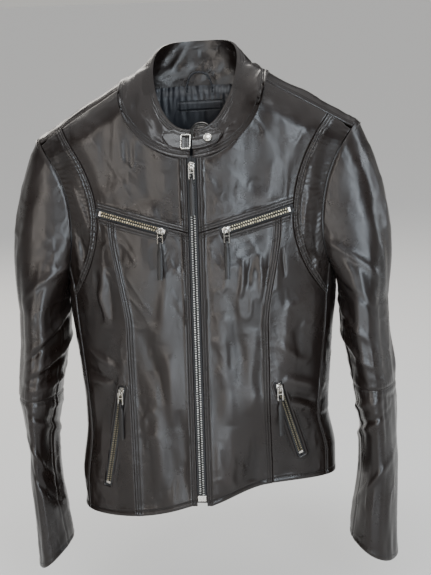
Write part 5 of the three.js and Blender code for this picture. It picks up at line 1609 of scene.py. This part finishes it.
label = {"half": 30, "high": 14, "drop": 42, "inset": 11.0}
badge = {"radius": 15, "drop": 77, "inset": 13.6, "petals": 12}
loop = {"half": 16, "strand": 0.85, "apart": 0.62, "twists": 9}


def makeNeckTrim():
    heights = np.linspace(-1, 1, 14) * label["high"] / 2 - label["drop"]
    x, z = np.meshgrid(np.linspace(-label["half"], label["half"], 44), heights)
    inner = backPoint(x, z, label["inset"] - 1.2)
    outer = backPoint(x, z, label["inset"])
    style = seam((1.4,), 0.0, 0.2, roll=0.7, sink=0.4, seed=81)
    piece = sewnSheet("neck_label", outer, inner, unit(outer - inner), {
        edge: style for edge in ("low", "high", "left", "right")
    }, 0.3 * softNoise(outer / 9, 81), ["neck_label"], [labelCloth, thread])
    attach(piece, "jacket_body")
    spot = backPoint(0.0, -badge["drop"], badge["inset"])
    r = badge["radius"]
    profile = [(0.05, 1.2), (1.2, 1.25), (2.4, 1.0), (3.4, 0.8), (5.0, 0.95), (6.6, 1.2), (8.2, 1.1),
               (9.4, 0.7), (10.2, 0.55), (10.8, 0.8), (11.6, 0.9), (12.2, 0.6), (12.8, 0.8), (13.6, 1.35),
               (14.4, 1.3), (r, 0.7), (r, 0.0), (r - 0.8, -0.3), (0.05, -0.3)]

    def relief(radius, turn):
        if radius < 1.5 or radius > 12.3:
            return 0 * turn
        if radius > 10.4:
            return 0.28 * np.cos(turn * 36)
        return 0.4 * np.abs(np.cos(turn * badge["petals"] / 2)) * math.sin((radius - 1.5) / 8.9 * math.pi)

    shape = lathe(profile, spot, (0, -1, 0), (1, 0, 0), 108, relief)
    piece = makePiece("neck_badge", [(*shape, 0)], [bronze], ["neck_badge"], crisp=60)
    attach(piece, "jacket_body")
    # hang loop: two cords twisted together
    low, high = (np.array(corner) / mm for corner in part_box("hang_loop"))
    t = np.linspace(0, 1, 96)
    turn = math.pi * t
    x = -loop["half"] * np.sign(np.cos(turn)) * np.abs(np.cos(turn)) ** 0.8
    z = mix(low[2] + 1, high[2] - 1.4, np.sin(turn) ** 0.9)
    path = np.stack([x, np.full_like(t, (low[1] + high[1]) / 2) - np.sin(turn), z], -1)
    ahead = unit(np.gradient(path, axis=0))
    sides = unit(np.cross(ahead, np.array([0, 1.0, 0])))
    ups = np.cross(sides, ahead)
    section = disc(loop["strand"], 8)
    shapes = []
    for phase in (0, math.pi):
        wind = phase + t * loop["twists"] * 2 * math.pi
        strand = path + loop["apart"] * (np.cos(wind)[:, None] * sides + np.sin(wind)[:, None] * ups)
        shapes.append((*sweep(strand, section, sides, ups), 0))
    piece = makePiece("hang_loop", shapes, [satin], ["hang_loop"])
    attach(piece, "jacket_body")


makeLining()
makeNeckTrim()
print("lining, label, badge and loop are in")


# zips
def toothRow(side, start, end):
    # one row of metal teeth on its tape, the noses reaching in toward the slot
    stations = ((0.44, 0.34, 0.55), (0.9, 0.5, 0.95), (1.3, 0.62, 1.25), (2.7, 0.62, 1.25), (3.05, 0.42, 0.9))
    points = []
    for x, halfY, halfZ in stations:
        points += [(x, -halfY, -halfZ), (x, halfY, -halfZ), (x, halfY, halfZ), (x, -halfY, halfZ)]
    faces = bands(len(stations), 4) + [[3, 2, 1, 0], [16, 17, 18, 19]]
    points = np.array(points, float) * (side, 1, 1) + (0, 0, rowMiddle)
    faces = facing(points, np.array(faces))
    places = np.arange(start + (zipSize["pitch"] / 2 if side > 0 else 0), end, zipSize["pitch"])
    allPoints = (points[None] + np.stack([0 * places, places, 0 * places], -1)[:, None]).reshape(-1, 3)
    allFaces = (faces[None] + 20 * np.arange(len(places))[:, None, None]).reshape(-1, 4)
    return allPoints, allFaces


def tapeStrip(side, start, end):
    # woven tape with a corded edge by the teeth, dipping under the leather
    profile = [(0.42, -0.45), (2.4, -0.35), (3.1, 0.12), (3.8, 0.1), (4.3, -0.35), (5.1, -0.4),
               (6.2, -2.3), (9.0, -2.4), (9.0, -3.0), (5.9, -2.9), (4.8, -1.0), (0.42, -0.95)]
    steps = np.arange(start, end, 2.0)
    path = np.stack([0 * steps, steps, 0 * steps], -1)
    x = np.broadcast_to(np.array([side, 0.0, 0]), path.shape)
    z = np.broadcast_to(np.array([0, 0, 1.0]), path.shape)
    return sweep(path, profile, x, z)


def inPlace(zipLine, shape):
    points, faces = shape
    points = onZip(zipLine, points)
    return points, facing(points, faces)


def makeChain(name, zipLine):
    length = zipLine["length"]
    if name == "front_zip":
        for side, wing in wings:
            # the local side of the zip that lies to this wing
            flip = wing * (1 if zipLine["across"][0] > 0 else -1)
            rows = (
                (f"{name}_teeth_{side}", toothRow(flip, -4.4, length - 2.6), steelTeeth, "steel_teeth", 35),
                (f"{name}_tape_{side}", tapeStrip(flip, -12.5, length + 4), tapeCloth, "zip_tape", 50),
            )
            for rowName, shape, finish, slotName, crisp in rows:
                shapes = [(*inPlace(zipLine, shape), 0)]
                piece = makePiece(rowName, shapes, [finish], [rowName], crisp=crisp)
                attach(piece, "jacket_body")
        return
    shapes = []
    for side in (-1, 1):
        shapes.append((*inPlace(zipLine, toothRow(side, -1.0, length + 1)), 0))
        shapes.append((*inPlace(zipLine, tapeStrip(side, -8.5, length + 8.5)), 1))
    for low, high in ((length + 1.2, length + 4.0), (-5.9, -4.8)):
        stop = boxShape((-2.9, low, rowLow), (2.9, high, rowTop + 0.3), 0.35)
        shapes.append((*inPlace(zipLine, stop), 2))
    skins = [brassTeeth, tapeCloth, nickel]
    piece = makePiece(f"{name}_chain", shapes, skins, [f"{name}_chain"], crisp=35)
    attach(piece, "jacket_body")


def makeSlider(name, zipLine):
    half = [(2.2, -5), (3.7, -3.9), (4, -2.4), (3.3, 3.8), (2.4, 5)]
    outline = [(-2.2, -5)] + half + [(-x, y) for x, y in half[:0:-1]]
    backTop = rowLow - zipSize["plateGap"]
    shapes = [prism(outline, top - zipSize["plate"], top, 0.35, 0.09) for top in (plateTop, backTop)]
    post = zipSize["post"] / 2
    shapes.append(boxShape((-post, -4.2, backTop - 0.4), (post, 2.5, plateTop - 0.3)))
    for side in (-1, 1):
        ends = sorted((side * 3.15, side * 3.75))
        shapes.append(boxShape((ends[0], -2.6, -0.1), (ends[1], 1.6, plateTop - 0.5), 0.2))
    shapes = [(*inPlace(zipLine, shape), 0) for shape in shapes]
    out = outwardAt(zipLine["start"])
    up = np.array([0, 0, 1.0])
    across = unit(np.cross(up, out))
    flat = [(-4.0, -0.5), (-4.0, 0.9), (-3.6, 2.2), (-2.7, 3.2), (-1.3, 3.65), (0, 3.75),
            (1.3, 3.65), (2.7, 3.2), (3.6, 2.2), (4.0, 0.9), (4.0, -0.5)]
    path = np.array([zipLine["start"] + up * v + out * (plateTop + o) for v, o in flat])
    ahead = unit(np.gradient(path, axis=0))
    sides = np.broadcast_to(across, path.shape)
    bridge = sweep(path, rounded(2.0, 0.95, 0.25), sides, np.cross(ahead, sides))
    shapes.append((*bridge, 0))
    piece = makePiece(f"{name}_slider", shapes, [nickel], [f"{name}_slider"], crisp=40)
    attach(piece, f"{name}_slider")


pull = {"wide": 5.9, "long": 14.8, "rung": 7.2, "wire": 1.5, "soft": 1.1}
thong = {"long": 44, "wide": 4.0, "spread": 0.5, "skin": 1.1, "eye": 1.75, "steps": 26, "seamOut": 2.0}


def pullAxes(name):
    pivot = np.array(joints[f"{name}_pull_lift"]["pos_m"]) / mm
    lower = np.array(joints[f"{name}_thong_swing"]["pos_m"]) / mm
    x = np.array(joints[f"{name}_pull_lift"]["axis"])
    down = unit(lower - pivot)
    return pivot, lower, np.stack([x, down, unit(np.cross(x, down))])


def makePull(name):
    pivot, lower, turn = pullAxes(name)
    half = pull["wide"] / 2
    path = np.concatenate(cornerArcs(half, 0, pull["long"], pull["soft"], 5)) * (1, 1, 0)
    ahead = unit(np.roll(path, -1, 0) - np.roll(path, 1, 0))
    z = np.broadcast_to(np.array([0, 0, 1.0]), path.shape)
    section = rounded(pull["wire"], pull["wire"], 0.3)
    shapes = [sweep(path, section, np.cross(ahead, z), z, True)]
    rung = np.array([(-half, pull["rung"], 0), (0, pull["rung"], 0.05), (half, pull["rung"], 0)])
    shapes.append(sweep(rung, section, np.broadcast_to(np.array([0, 1.0, 0]), rung.shape), z[:3]))
    shapes = [(*moved(shape, turn, pivot), 0) for shape in shapes]
    piece = makePiece(f"{name}_pull", shapes, [nickel], [f"{name}_pull"], crisp=40)
    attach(piece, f"{name}_pull")
    eye, skinHalf = thong["eye"], thong["skin"] / 2
    down = np.linspace(thong["long"], 6.0, thong["steps"])
    front = [(d, skinHalf + 0.08) for d in down] + [(4.6, 0.8), (3.4, 1.15), (2.3, 1.42)]
    around = [(eye * math.cos(a), eye * math.sin(a)) for a in np.radians(np.arange(65, 296, 23))]
    line = front + around + [(d, -o) for d, o in reversed(front)]
    sway = 0.3 * np.sin(np.array([d for d, _ in line]) / 9)
    path = np.array([(0, d, o + s * min(1, max(0, d - 6) / 10)) for (d, o), s in zip(line, sway)])
    ahead = unit(np.gradient(path, axis=0))
    x = np.broadcast_to(np.array([1.0, 0, 0]), path.shape)
    points, faces = sweep(path, rounded(thong["wide"], thong["skin"], 0.22), x, np.cross(ahead, x))
    # it widens below the bar
    points[:, 0] *= 1 + thong["spread"] * ease(3, 10, points[:, 1])
    shapes = [(*moved((points, faces), turn, lower), 0)]
    top = path[:thong["steps"]] + (0, 0, skinHalf)
    for aside in (-thong["seamOut"], thong["seamOut"]):
        for face in (1, -1):
            row = top * (1, 1, face) + (aside, 0, 0)
            ups = np.broadcast_to(np.array([0, 0, float(face)]), row.shape)
            stitches = stitchRow(row, ups, 1.5)
            shapes.append((*moved(stitches, turn, lower), 1))
    piece = makePiece(f"{name}_thong", shapes, [thongSkin, thread], [f"{name}_thong"])
    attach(piece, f"{name}_thong")


welt = {"half": 6.6, "tail": 9.0, "soft": 3.5, "rowOut": 5.0}


def makeWelt(side, zipLine):
    # a rolled leather edge round the hand pocket's zip, with a row of stitches outside it
    def loopAt(grow):
        half, soft = welt["half"] + grow, welt["soft"] + grow
        low, high = -welt["tail"] - grow, zipLine["length"] + welt["tail"] + grow
        spots, sides = [], []
        for index, arc in enumerate(cornerArcs(half, low, high, soft, 6)):
            for x, y, a in arc:
                spots.append((x, y, 0))
                sides.append((math.cos(a), math.sin(a), 0))
            if index in (1, 3):
                # a long side follows the second and the fourth corner
                hand = -1 if index == 1 else 1
                first, last = (high - soft, low + soft)[::-hand]
                for share in np.linspace(0, 1, 34)[1:-1]:
                    spots.append((hand * half, mix(first, last, share), 0))
                    sides.append((hand, 0, 0))
        path = onZip(zipLine, spots)
        path = onFront(path[:, 0], path[:, 2])
        turn = np.stack([zipLine["across"], zipLine["along"], zipLine["out"]])
        return path, np.array(sides) @ turn

    path, sides = loopAt(0)
    ups = np.broadcast_to(zipLine["out"], path.shape)
    section = [(-1.6, -2.6), (-1.5, -0.2), (-0.9, 0.8), (0.2, 1.25),
               (1.5, 1.0), (2.5, 0.3), (3.0, -0.6), (3.0, -2.6)]
    shapes = [(*sweep(path, section, sides, ups, True), 0)]
    row, _ = loopAt(welt["rowOut"])
    row = np.concatenate([row, row[:1]]) + zipLine["out"] * 0.35
    shapes.append((*stitchRow(row, np.broadcast_to(zipLine["out"], row.shape), 0.5), 1))
    piece = makePiece(f"hand_pocket_welt_{side}", shapes, [leatherSkin, thread])
    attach(piece, "jacket_body")


for zipName, zipLine in zips.items():
    makeChain(zipName, zipLine)
    makeSlider(zipName, zipLine)
    makePull(zipName)
for side, wing in wings:
    makeWelt(side, zips[f"hand_zip_{side}"])

# the leather behind the front zip
facingStrip = {"left": -7, "right": 21, "deep": 6.6, "thick": 1.2, "short": 2.0, "belowNeck": 8}


def makeFacing():
    top = float(neckHeight(cut["zipEdge"])) - facingStrip["belowNeck"]
    x, z = np.meshgrid(np.linspace(facingStrip["left"], facingStrip["right"], 12),
                       np.linspace(hem + facingStrip["short"], top, 130))
    outer, inner = (frontPoint(x, z, facingStrip["deep"] + depth) for depth in (0, facingStrip["thick"]))
    strip = sewnSheet("front_zip_facing", outer, inner, unit(outer - inner), {
        edge: seam((2.6,), 0.0, 0.2, roll=1.0, sink=1.0, seed=seed)
        for edge, seed in (("left", 91), ("right", 92), ("low", 93))
    }, 0.3 * softNoise(outer / (9, 9, 30), 91), (), [leatherSkin, thread])
    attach(strip, "jacket_body")


makeFacing()
bottomBox = frame["nodes"]["front_zip_box"]
bottomBox.data.materials.clear()
bottomBox.data.materials.append(nickel)
bevel = bottomBox.modifiers.new("softEdges", "BEVEL")
bevel.width, bevel.segments = 0.5 * mm, 3
print("zips, pulls and thongs are on")
